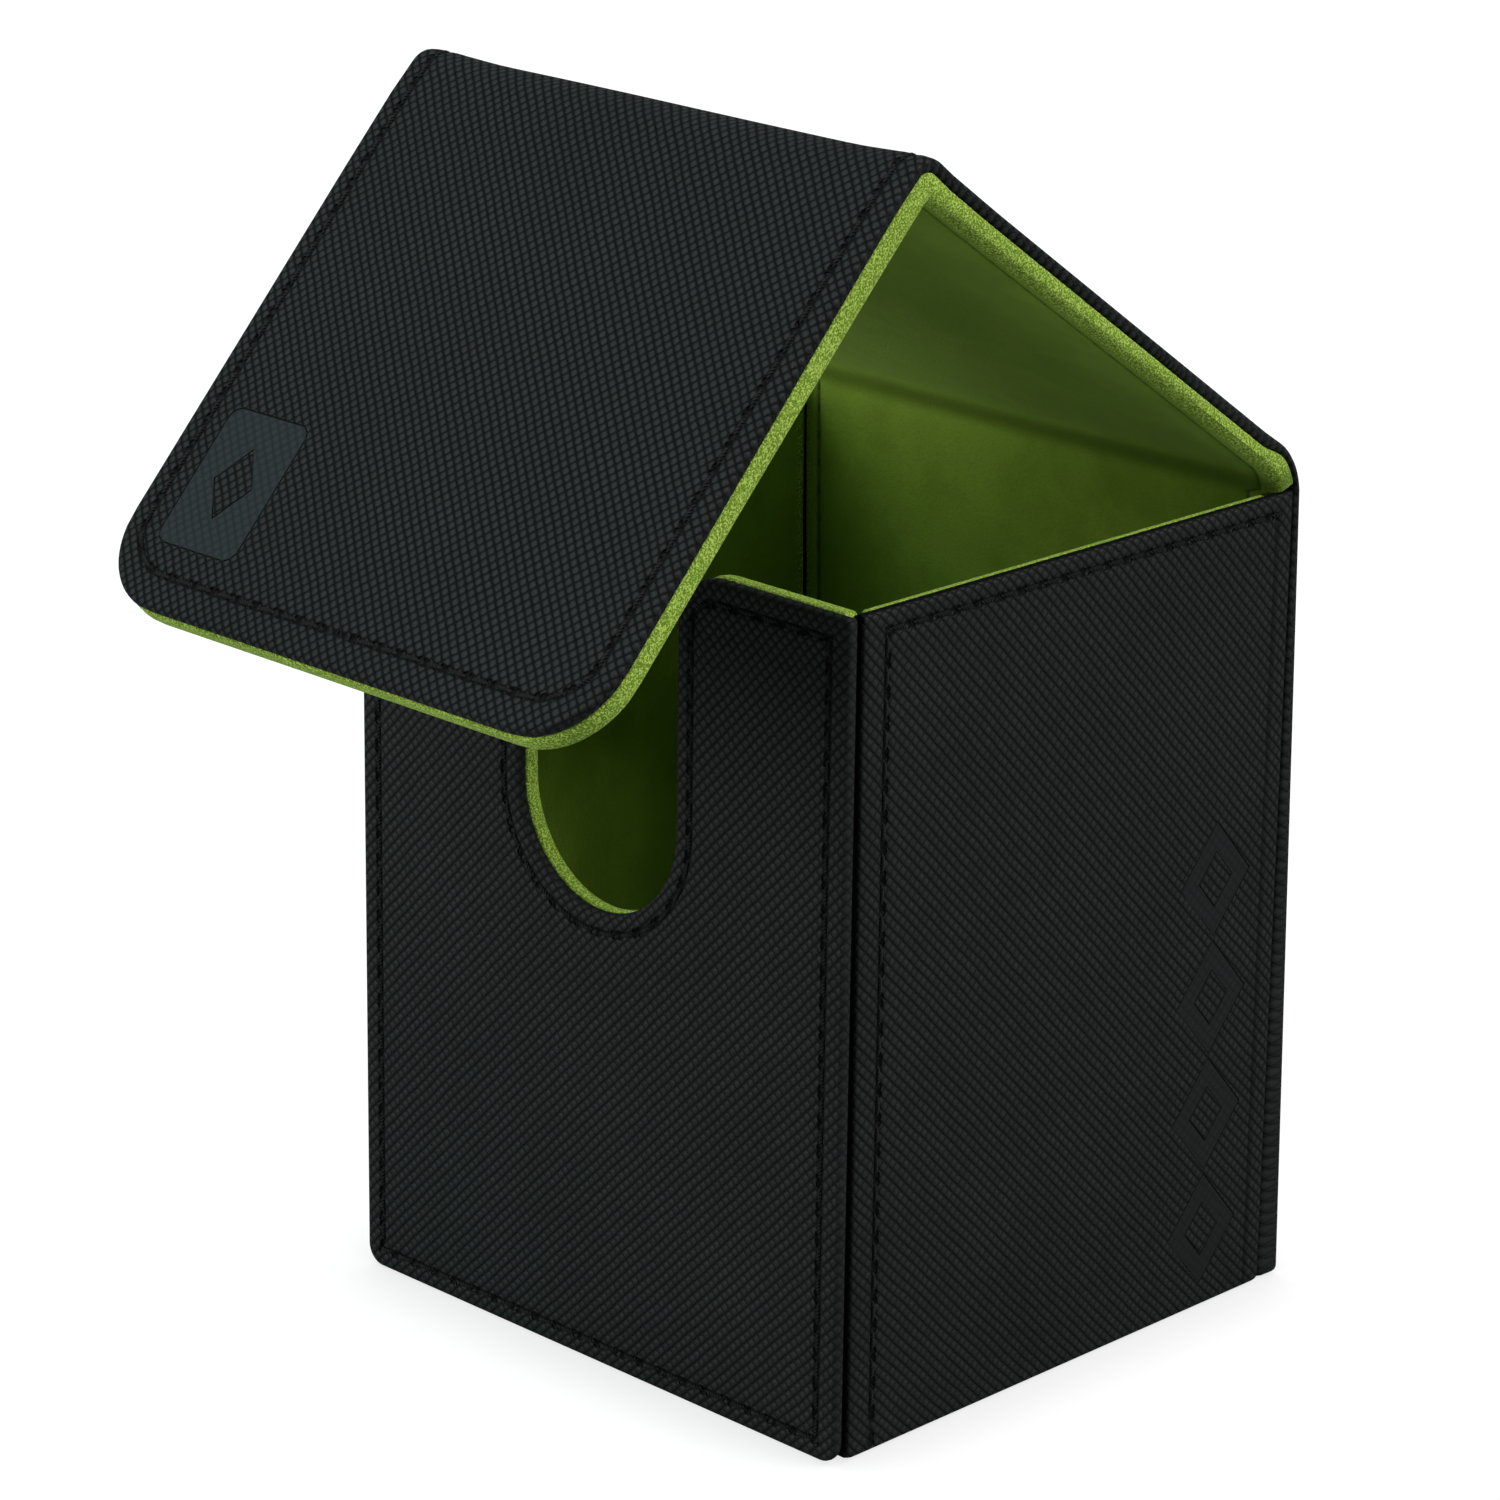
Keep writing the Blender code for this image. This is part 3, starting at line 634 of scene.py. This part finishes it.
BACK_SEAM, LID_SEAM, TIP_SEAM = 3.0, 3.0, 4.2
TIP_RADIUS, BASE_RADIUS = 10.5, 1.0
TIP_REACH = TIP_S - TIP_RADIUS
TIP_CORNER = TIP_REACH - BACK_SEAM  # the run where the seam starts to turn round the tip
MEAN_RADIUS = TIP_RADIUS - (LID_SEAM + TIP_SEAM) / 2
TIP_TURNED = TIP_CORNER + MEAN_RADIUS * math.pi / 2
TIP_FLAT = HALF_WIDTH - TIP_RADIUS


def wrap_run(A, S, TA, TS, turn):
    """Distance along the wrap's seam, from the foot of the back's side."""
    side = S - BACK_SEAM
    run = np.where((turn > 0) & (S > RIDGE_S), TIP_CORNER + MEAN_RADIUS * turn, side)
    run = np.where((TS < TA) & (S > RIDGE_S) & (turn == 0), TIP_TURNED + (TIP_FLAT - abs(A)), run)
    return np.where((TS < TA) & (TS < 20) & (S < REAR_S), -(HALF_WIDTH - BACK_SEAM - abs(A)), run)


def wrap_seam(run):
    """(x of the right half, s) at a distance along the wrap's seam."""
    x_side = HALF_WIDTH - LID_SEAM
    if run < 0:
        return x_side + run, BACK_SEAM
    if run < TIP_CORNER:
        return x_side, BACK_SEAM + run
    if run < TIP_TURNED:
        angle = (run - TIP_CORNER) / MEAN_RADIUS
        return (TIP_FLAT + (TIP_RADIUS - LID_SEAM) * math.cos(angle),
                TIP_REACH + (TIP_RADIUS - TIP_SEAM) * math.sin(angle))
    return TIP_FLAT - (run - TIP_TURNED), TIP_S - TIP_SEAM


FOLD_STATIONS = [at + d for at in (REAR_S, RIDGE_S) for d in np.linspace(-8, 8, 33)]


def wrap_axes(rings, half_width, low, high):
    across = Axis(-half_width, half_width, rings, GRID)
    rear = Axis(low, SPLIT_S, rings, GRID, (True, False), (BACK_SEAM, SEAM), FOLD_STATIONS)
    fore = Axis(SPLIT_S, high, rings, GRID, (False, True), (SEAM, TIP_SEAM), FOLD_STATIONS)
    return across, rear, fore


BACK_EDGE_Y = STRIP_REAR + 0.22  # the back's turned edge reaches in as far as the sides


def wrap_leather_top(t, x, s):
    return leather_top(t) + outer_lift(s)


def wrap_leather_bottom(t, x, s):
    depth = HALF_DEPTH + np.interp(s, (0, HEIGHT), (LEAN_BOTTOM, LEAN_TOP)) - BACK_EDGE_Y
    fuller = 1 + (depth / LEATHER_EDGE - 1) * (1 - smooth(97, 101, s)) * (t < 0.9)
    lift = outer_lift(s)
    return leather_bottom(t) * thinned(s) * fuller + np.where(t < 0.9, lift, np.maximum(lift, -0.12))


def leather_wrap():
    across, rear, fore = wrap_axes(LEATHER_RINGS, HALF_WIDTH, 0.0, TIP_S)
    for name, along, material in (("back_and_rear_lid_leather", rear, leather),
                                  ("ridge_and_flap_leather", fore, leather_flap)):
        shell = Shell()
        grid_shell(shell, across, along, on_wrap, wrap_leather_top, wrap_leather_bottom,
                   (BASE_RADIUS, TIP_RADIUS), wrap_run)
        yield shell.build(name, material)


LID_LINING_FACE = -4.1
LINING_INSET = 0.15  # the lining's sides lie this far inside the leather's
LINING_PROUD = 0.12  # the flap's lining shows past its leather at the tip
BACK_LINING_LOW = 2.5
WALL_LINING = 38.0  # half width of the front and back linings, inside the side leather
RIM_STEP = (101.6, 102.6)  # where the lining widens from inside the walls to the lid's full width


def lining_wrap():
    outer, inner = lining_profiles(LID_LINING_FACE, channel=1.0, round_over=2.0)
    half = HALF_WIDTH - LINING_INSET

    def raised(t, x, s):
        lift = outer_lift(s)
        return outer(t) + (1 - thinned(s)) * 1.5 + np.where(t < 0.9, lift, np.minimum(lift, 0.08))

    def face(t, x, s):
        return inner(t) + np.where(t > 0.03, inner_lift(s), outer_lift(s))

    across, rear, fore = wrap_axes(LINING_RINGS, half, BACK_LINING_LOW, TIP_S + LINING_PROUD)
    rear.at = np.sort(np.concatenate([rear.at, np.linspace(101.2, 103.0, 9)]))
    rear.t = np.where(rear.at > 20, FAR, np.interp(rear.at, (BACK_LINING_LOW, 12, SPLIT_S), (0, 12, FAR)))

    def narrow(x, s, w):
        inside = 1 - smooth(*RIM_STEP, s)
        return on_wrap(x * (1 - inside * (1 - WALL_LINING / half)), s, w)

    for name, along in (("back_and_rear_lid_lining", rear), ("ridge_and_flap_lining", fore)):
        shell = Shell()
        grid_shell(shell, across, along, narrow, raised, face, (0, TIP_RADIUS - LINING_INSET), wrap_run)
        yield shell.build(name, suede_sewn_and_fold_shade)


# ---------------- the side and base strip

STRIP_SEAMS = (3.7, SEAM)  # insets along the front and the rear edge; only the front one is sewn
STRIP_TONGUE = 0.75  # how far its leather runs on under the front panel's edge
STRIP_TONGUE_W = -0.95  # and how far under the outer face it lies there
STRIP_REAR_GAP = 0.19  # how far it stops short of the back panel
STRIP_TOP_SEAM = 2.4


def strip_run(A, S, TA, TS, turn):
    """Distance along a side's seam from its top front corner, negative down the front edge."""
    height = np.minimum(S, STRIP_END - S) - STRIP_TOP_SEAM  # distance down from the nearer top seam
    front = STRIP_FRONT + STRIP_SEAMS[0]
    return np.where((TS < TA) | (A > 0), A - front, -height)


STRIP_RINGS = (0, 0.02) + LEATHER_RINGS[1:]


def strip_bottom(t, a=0, s=0):
    return np.minimum(leather_bottom(t), np.where(t < 0.03, STRIP_TONGUE_W - 4 * t, 0))


def strip_channel(t, a=0, s=0):
    """The strip is sewn on the two sides only, so its channel fades out before the base."""
    sewn = smooth(0, 3, abs(s - STRIP_END / 2) - HALF_WIDTH - 2.0)
    height = np.minimum(s, STRIP_END - s)
    sewn = sewn * np.maximum(1 - smooth(0, 6, a), 1 - smooth(3.2, 4.2, height))
    return np.where(t < 0.03, STRIP_TONGUE_W, leather_top(t, channel=sewn))


def side_strip():
    shell = Shell()
    across = Axis(STRIP_FRONT, STRIP_REAR, STRIP_RINGS, GRID, insets=STRIP_SEAMS, tongue=STRIP_TONGUE)
    folds = [at + d for at in (HEIGHT, STRIP_END - HEIGHT) for d in np.linspace(-6, 6, 17)]
    along = Axis(0.0, STRIP_END, STRIP_RINGS, GRID, insets=(STRIP_TOP_SEAM, STRIP_TOP_SEAM), extra=folds)
    grid_shell(shell, across, along, on_strip, strip_channel, strip_bottom, run=strip_run)
    return shell.build("side_and_base_leather", leather_side)


# ---------------- the notched front

TOP_CORNER = 0.7
FRONT_SEAMS = {"side": 3.0, "bottom": 2.5, "top": 2.7, "notch": 2.4}
GRID_CLEARANCE = 1.6  # between the innermost ring and the grid that fills the panel


def front_outline(inset, half_width=HALF_WIDTH, low=0.0, radius=2.5, notch=NOTCH_HALF_WIDTH):
    """Points of the notched outline drawn in by inset, the same number whatever the inset."""
    r, top_r = max(radius - inset, 0.05), max(TOP_CORNER - inset, 0.05)
    hw, z0, z1 = half_width - inset, low + inset, HEIGHT - inset
    lip, n = max(NOTCH_LIP - inset, 0.3), notch + inset
    points, kinds = [], []
    for cx, cz, bend, start, end, steps, split, before, after in (
            (-hw + r, z0 + r, r, 180, 270, 8, 4, "side", "bottom"),
            (hw - r, z0 + r, r, 270, 360, 8, 5, "bottom", "side"),
            (hw - top_r, z1 - top_r, top_r, 0, 90, 8, 4, "side", "top"),
            (NOTCH_X + n + lip, z1 - lip, lip, 90, 180, 8, 4, "top", "notch"),
            (NOTCH_X, NOTCH_CENTRE, n, 0, -180, 36, 37, "notch", "notch"),
            (NOTCH_X - n - lip, z1 - lip, lip, 0, 90, 8, 5, "notch", "top"),
            (-hw + top_r, z1 - top_r, top_r, 90, 180, 8, 5, "top", "side")):
        for k in range(steps + 1):
            angle = math.radians(start + (end - start) * k / steps)
            points.append((cx + bend * math.cos(angle), cz + bend * math.sin(angle)))
            kinds.append(before if k < split else after)
    return np.array(points), kinds


def front_ring(t, **outline):
    """The outline at ring t with every edge's own stitch inset, its long runs divided."""
    base, kinds = front_outline(0.0, **outline)
    insets = np.array([FRONT_SEAMS[k] for k in kinds])
    for _ in range(3):
        insets = (np.roll(insets, 1) + insets + np.roll(insets, -1)) / 3
    ring = [front_outline(round(float(warp(t, inset)), 4), **outline)[0][number]
            for number, inset in enumerate(insets)]
    divided = []
    for number, spot in enumerate(ring):
        following = (number + 1) % len(ring)
        length = float(np.hypot(*(base[following] - base[number])))
        pieces = max(1, round(length / GRID)) if length > 4 else 1
        divided += [spot + (ring[following] - spot) * k / pieces for k in range(pieces)]
    return np.array(divided)


def in_front(x, z, inset, half_width, low, notch):
    """Whether a point is on the panel, and at least inset from its edge."""
    if abs(x) > half_width - inset or not low + inset < z < HEIGHT - inset:
        return False
    x = abs(x - NOTCH_X)
    if z > NOTCH_CENTRE and x < notch + inset:
        return False
    if z > HEIGHT - NOTCH_LIP and x < notch + NOTCH_LIP:
        if math.hypot(x - notch - NOTCH_LIP, z - HEIGHT + NOTCH_LIP) > NOTCH_LIP - inset:
            return False
    return math.hypot(x, z - NOTCH_CENTRE) > notch + inset


def front_shell(name, rings, top, bottom, material, half_width=HALF_WIDTH, low=0.0, radius=2.5,
                notch=NOTCH_HALF_WIDTH):
    """A notched panel: rings along its edge, and inside them a triangulated grid. Returns its seam too."""
    outline = dict(half_width=half_width, low=low, radius=radius, notch=notch)
    loops = np.array([front_ring(t, **outline) for t in rings])
    seam_loop = front_ring(SEAM, **outline)
    seam_loop = np.vstack([seam_loop, seam_loop[:1]])
    run = np.concatenate([[0], np.cumsum(np.hypot(*np.diff(seam_loop, axis=0).T))])
    run *= STITCH_PITCH * round(run[-1] / STITCH_PITCH) / run[-1]  # a whole number of stitches
    t = np.repeat(np.array(rings)[:, None], loops.shape[1], 1)
    last = loops[-1]
    grid = [(x, z) for x in np.arange(-half_width + GRID / 2, half_width, GRID)
            for z in np.arange(GRID / 2, HEIGHT, GRID)
            if in_front(x, z, rings[-1] + GRID_CLEARANCE, half_width, low, notch)]
    flat_points = [tuple(spot) for spot in (*last, *grid)]
    edges = [(k, (k + 1) % len(last)) for k in range(len(last))]
    spots = [Vector(spot) for spot in flat_points]
    _, _, triangles, origins, _, _ = delaunay_2d_cdt(spots, edges, [], 1, 1e-6)
    triangles = [[origins[k][0] for k in triangle] for triangle in triangles]
    loops_closed = np.concatenate([loops, loops[:, :1]], 1)
    outward = loops_closed[0] - loops_closed[5]
    outward = outward / np.maximum(np.hypot(*outward.T), 1e-9)[:, None]
    seam = np.stack(np.broadcast_arrays(run[None, :], np.array(rings)[:, None]), -1)
    shell = Shell()
    edge = None
    for height, drops in ((top, FACE_DROPS), (bottom, BACK_DROPS)):
        index = shell.add_points(on_front(loops[..., 0], loops[..., 1], height(t) + 0 * t))
        edge = index[0] if edge is None else edge
        index[0] = edge  # the two faces share the outermost ring
        flat = loops_closed + np.interp(rings, DROP_T, drops)[:, None, None] * outward
        shell.add_patch(np.hstack([index, index[:, :1]]), flat, seam)
        inner = shell.add_points(on_front(*np.array(grid).T, np.full(len(grid), float(height(60.0)))))
        shell.add_triangles(triangles, [*index[-1], *inner], flat_points, [(0.0, 30.0)] * len(flat_points))
    return shell.build(name, material), seam_loop, run


# ---------------- plain plates inside the box

INNER_HALF_WIDTH, INNER_HALF_DEPTH = 36.95, 33.95  # inside the walls' linings
LINING_CORNERS = (0.6, 0.6)
BOARD_DEEP, BOARD_MIDDLE, BOARD_FACE = -2.15, -1.6, -1.05  # the back's board, under its leather
BOARD_INSET = 1.05


def plate(name, material, across, along, place, top, bottom):
    """A sheet that leans with the back wall. place(a, s, w) gives x, y and z."""
    shell = Shell()
    grid_shell(shell, across, along, lambda a, s, w: lean(np.stack(np.broadcast_arrays(*place(a, s, w)), -1)),
               top, bottom, LINING_CORNERS)
    return shell.build(name, material)


def side_lining(side):
    """Lining of the left or right wall, from just above the base to the rim."""
    outer, inner = lining_profiles(-2.9, round_over=0.7)
    across = Axis(-INNER_HALF_DEPTH, INNER_HALF_DEPTH, LINING_RINGS, GRID)
    along = Axis(2.6, HEIGHT - 0.3, LINING_RINGS, GRID)
    return plate(("right" if side > 0 else "left") + "_wall_lining", suede, across, along,
                 lambda y, z, w: (side * (HALF_WIDTH + w), y, z), outer, inner)


def base_lining():
    outer, inner = lining_profiles(-4.0, round_over=0.8)
    across = Axis(-INNER_HALF_WIDTH, INNER_HALF_WIDTH, LINING_RINGS, GRID)
    along = Axis(-INNER_HALF_DEPTH, INNER_HALF_DEPTH, LINING_RINGS, GRID)
    return plate("base_lining_sheet", suede, across, along, lambda x, y, w: (x, y, -w), outer, inner)


def back_stiffener():
    """The back wall's board, leaning with its leather."""
    rings, half = (0, 0.1, 0.3, 1.0), HALF_WIDTH - BOARD_INSET
    face, rear = (lambda t, a, s, deep=deep: np.interp(t, (0, 0.1), (BOARD_MIDDLE, deep))
                  for deep in (BOARD_FACE, BOARD_DEEP))
    return plate("back_stiffener", greyboard, Axis(-half, half, rings, 2 * GRID),
                 Axis(BOARD_INSET, HEIGHT - BOARD_INSET, rings, 2 * GRID),
                 lambda x, z, w: (x, HALF_DEPTH + w, z), face, rear)


# ---------------- stitches

THREAD_SIDES, THREAD_STEPS = 9, 11


def stitch_piece(name, runs, place_on):
    """One mesh of separate stitches. place_on(run, lift) gives a point lift above the seam channel."""
    shell = Shell()
    around = np.linspace(0, 2 * math.pi, THREAD_SIDES + 1)
    for start in runs:
        steps = np.linspace(0, 1, THREAD_STEPS)
        at = start + steps * STITCH_LENGTH
        rise = THREAD_RADIUS * (1.55 * (1 - abs(2 * steps - 1) ** 3.2) - 0.95)
        centre = np.array([place_on(r, h) for r, h in zip(at, rise)])
        above = np.array([place_on(r, h + 0.5) for r, h in zip(at, rise)])
        normal = above - centre
        normal /= np.linalg.norm(normal, axis=1)[:, None]
        tangent = np.gradient(centre, axis=0)
        tangent /= np.linalg.norm(tangent, axis=1)[:, None]
        side = np.cross(tangent, normal)
        side /= np.linalg.norm(side, axis=1)[:, None]
        normal = np.cross(side, tangent)
        radius = THREAD_RADIUS * np.interp(abs(2 * steps - 1), (0.4, 0.8, 1), (1.05, 0.85, 0.55))
        ring = (centre[:, None] + radius[:, None, None] * (
            np.cos(around)[None, :-1, None] * side[:, None] * 1.08 +
            np.sin(around)[None, :-1, None] * normal[:, None]))
        index = shell.add_points(ring)
        closed = np.hstack([index, index[:, :1]])
        U, V = np.meshgrid(around / (2 * math.pi), at)
        flat = np.stack([U, V], -1)
        shell.add_patch(closed, flat, flat)
        for end in (0, -1):
            tip = shell.add_points(centre[end][None])[0]
            fan = [(THREAD_SIDES, k, (k + 1) % THREAD_SIDES) for k in range(THREAD_SIDES)]
            uvs = [(0.5, float(at[end]))] * (THREAD_SIDES + 1)
            shell.add_triangles(fan, [*index[end], tip], uvs, uvs)
    return shell.build(name, thread, 70)


def runs_between(low, high):
    """Starts of whole stitches whose needle holes fall where the leather's own holes are."""
    first = math.ceil((low - HOLE_GAP) / STITCH_PITCH - 1e-6)
    last = math.floor((high - HOLE_GAP - STITCH_LENGTH) / STITCH_PITCH + 1e-6)
    return [k * STITCH_PITCH + HOLE_GAP for k in range(first, last + 1)]


CHANNEL_FLOOR = -CHANNEL_DEPTH + 0.04
LEFT_RUNS = 2000.0  # added to the runs of the left side, so that one piece holds both sides' stitches


def wrap_stitches():
    def place_on(run, lift):
        side = -1 if run > LEFT_RUNS / 2 else 1
        x, s = wrap_seam(run - LEFT_RUNS if side < 0 else run)
        return on_wrap(np.array(side * x), np.array(s), np.array(CHANNEL_FLOOR + lift + outer_lift(s)))

    split_run = SPLIT_S - BACK_SEAM
    for name, low, high in (("back_and_rear_lid_stitches", BACK_SEAM - HALF_WIDTH, split_run - 0.2),
                            ("ridge_and_flap_stitches", split_run + 0.2, TIP_TURNED + TIP_FLAT)):
        runs = runs_between(low, high)
        yield stitch_piece(name, [run + LEFT_RUNS for run in runs] + runs, place_on)


def side_stitches(side):
    """Stitches of one side, up its front edge and along its top."""
    front = STRIP_FRONT + STRIP_SEAMS[0]

    def place_on(run, lift):
        y, s = (front, STRIP_TOP_SEAM - run) if run < 0 else (front + run, STRIP_TOP_SEAM)
        s = STRIP_END - s if side > 0 else s
        return on_strip(np.array(y), np.array(s), np.array(CHANNEL_FLOOR + lift))

    runs = runs_between(STRIP_TOP_SEAM + 3.0 - HEIGHT, STRIP_REAR - front - 1.2)
    return stitch_piece(("right" if side > 0 else "left") + "_side_stitches", runs, place_on)


def front_stitches(loop, run):
    def place_on(at, lift):
        x, z = (np.interp(at % run[-1], run, values) for values in loop.T)
        return on_front(x, z, CHANNEL_FLOOR + lift)

    return stitch_piece("front_stitches", runs_between(0, run[-1] + 0.01), place_on)


# ---------------- putting it together

def finish_piece(obj, replaced, body="box", bend=None):
    if bend:
        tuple(bend[2])
        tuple(bend[3])
        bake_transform(obj)
    else:
        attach(obj, body)
    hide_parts(*replaced)


REAR_BEND = ("box", "lid", (0, 0.038, 0.098), (0, 0.031, 0.108))
RIDGE_BEND = ("lid", "flap", (0, -0.02087, 0.1458), (0, -0.03286, 0.1445))

rear_leather, fore_leather = leather_wrap()
finish_piece(rear_leather, ("back_cover", "rear_hinge_skin"), bend=REAR_BEND)
finish_piece(fore_leather, ("lid_cover", "ridge_hinge_skin", "flap_cover"), bend=RIDGE_BEND)
rear_lining, fore_lining = lining_wrap()
finish_piece(rear_lining, ("back_lining", "rear_hinge_lining"), bend=REAR_BEND)
finish_piece(fore_lining, ("lid_lining", "ridge_hinge_lining", "flap_lining"), bend=RIDGE_BEND)
rear_stitches, fore_stitches = wrap_stitches()
finish_piece(rear_stitches, ("back_thread",), bend=REAR_BEND)
finish_piece(fore_stitches, ("lid_thread_left", "lid_thread_right", "flap_thread"), bend=RIDGE_BEND)

finish_piece(side_strip(), ("side_and_base_cover",))
for side, word in ((1, "right"), (-1, "left")):
    finish_piece(side_lining(side), (f"{word}_lining",))
    finish_piece(side_stitches(side), (f"{word}_thread",))
finish_piece(base_lining(), ("base_lining",))
finish_piece(back_stiffener(), ("back_board",))

front_leather, front_seam, front_run = front_shell(
    "front_leather", LEATHER_RINGS[:-3], leather_top, leather_bottom, leather)
finish_piece(front_leather, ("front_cover",))
front_lining, _, _ = front_shell(
    "front_wall_lining", LINING_RINGS[:-3], *lining_profiles(-3.75, round_over=0.8), suede,
    half_width=WALL_LINING, low=2.5, radius=0.8, notch=NOTCH_HALF_WIDTH + 0.1)
finish_piece(front_lining, ("front_lining",))
finish_piece(front_stitches(front_seam, front_run), ("front_thread",))

for node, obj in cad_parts.items():
    if not obj.hide_render:
        slot, material = ("magnet", plating) if "magnet" in node else ("greyboard", greyboard)
        obj.data.materials.clear()
        obj.data.materials.append(material)


# ---------------- camera, floor and light

# The camera, in metres and millimetres of lens, from the fit to the object's straight edges.
SENSOR, LENS = 36.0, 130.61
CAMERA_AT = (0.42582, -0.44546, 0.27492)
CAMERA_FORWARD, CAMERA_RIGHT = Vector((-0.66475, 0.67551, -0.31905)), Vector((0.70971, 0.70438, 0.01266))


def make_camera():
    data = bpy.data.cameras.new("camera")
    data.sensor_width, data.lens = SENSOR, LENS
    data.clip_start, data.clip_end = 0.01, 20.0
    obj = bpy.data.objects.new("camera", data)
    bpy.context.scene.collection.objects.link(obj)
    obj.location = CAMERA_AT
    right = CAMERA_RIGHT.normalized()
    up = right.cross(CAMERA_FORWARD).normalized()
    turn = Matrix((right, up, -CAMERA_FORWARD.normalized())).transposed()
    obj.rotation_mode = "QUATERNION"
    obj.rotation_quaternion = turn.to_quaternion()
    bpy.context.scene.camera = obj


FLOOR_SIZE, FLOOR_DROP = 3.0, 0.0002  # half its width, and how far it lies under the box
FLOOR_BOUNCE = 0.30
CONTACT_SHADE = 0.016  # how far the floor's painted contact shadow reaches
SKY_LIGHT = 0.25


def sun(name, towards, energy, angle, tint=(1, 1, 1)):
    """A soft light from far off. towards points from the box to the light."""
    data = bpy.data.lights.new(name, "SUN")
    data.energy, data.angle, data.color = energy, math.radians(angle), tint
    obj = bpy.data.objects.new(name, data)
    obj.rotation_mode = "QUATERNION"
    obj.rotation_quaternion = Vector(towards).to_track_quat("Z", "Y")
    bpy.context.scene.collection.objects.link(obj)


def make_floor():
    mesh = bpy.data.meshes.new("floor")
    corners = [(x * FLOOR_SIZE, y * FLOOR_SIZE, 0) for x, y in ((-1, -1), (1, -1), (1, 1), (-1, 1))]
    mesh.from_pydata(corners, [], [(0, 1, 2, 3)])
    obj = bpy.data.objects.new("floor", mesh)
    obj.location.z = -FLOOR_DROP
    bpy.context.scene.collection.objects.link(obj)
    g = Graph("floor")
    place = g.node("ShaderNodeTexCoord").outputs["Object"]
    tone = g.noise(place, 3.0, 2.0)
    seen = g.node("ShaderNodeLightPath").outputs["Is Camera Ray"]
    # The paper floor looks white: it glows for the camera, and a painted contact shadow from an ambient
    # occlusion node darkens that glow where the box stands. It throws back only part of the light that falls
    # on it, so that the box stays dark inside.
    paper = g.blend(tone, colour(0.11, 0.11, 0.11), colour(0.13, 0.13, 0.13))
    painted_contact_shadow = g.node("ShaderNodeAmbientOcclusion", {"Distance": CONTACT_SHADE}, samples=8).outputs["AO"]
    mesh.materials.append(g.finish({
        "Base Color": g.blend(seen, colour(*(FLOOR_BOUNCE,) * 3), paper), "Roughness": 0.8,
        "Specular IOR Level": 0.0, "Emission Color": colour(1.0, 1.0, 1.0),
        "Emission Strength": g.times(seen, g.ramp(painted_contact_shadow, 0.4, 1.0, 0.78, 0.96))}))


def make_light():
    world = bpy.data.worlds.new("studio")
    world.use_nodes = True
    nodes, links = world.node_tree.nodes, world.node_tree.links
    background = nodes["Background"]
    background.inputs["Color"].default_value = colour(1.0, 1.0, 1.0)
    # White to look at, but only a weak light.
    strength = nodes.new("ShaderNodeMapRange")
    strength.inputs["To Min"].default_value = SKY_LIGHT
    links.new(nodes.new("ShaderNodeLightPath").outputs["Is Camera Ray"], strength.inputs["Value"])
    links.new(strength.outputs[0], background.inputs["Strength"])
    bpy.context.scene.world = world
    sun("key", (0.62, 0.30, 0.72), 2.4, 32)
    sun("fill", (-0.42, -0.34, 0.84), 1.2, 50, (0.72, 1.0, 1.0))
    sun("front", (-0.45, -0.88, 0.10), 2.1, 55, (0.97, 1.0, 0.98))


make_camera()
make_floor()
make_light()
bpy.context.scene.view_settings.view_transform = "Standard"
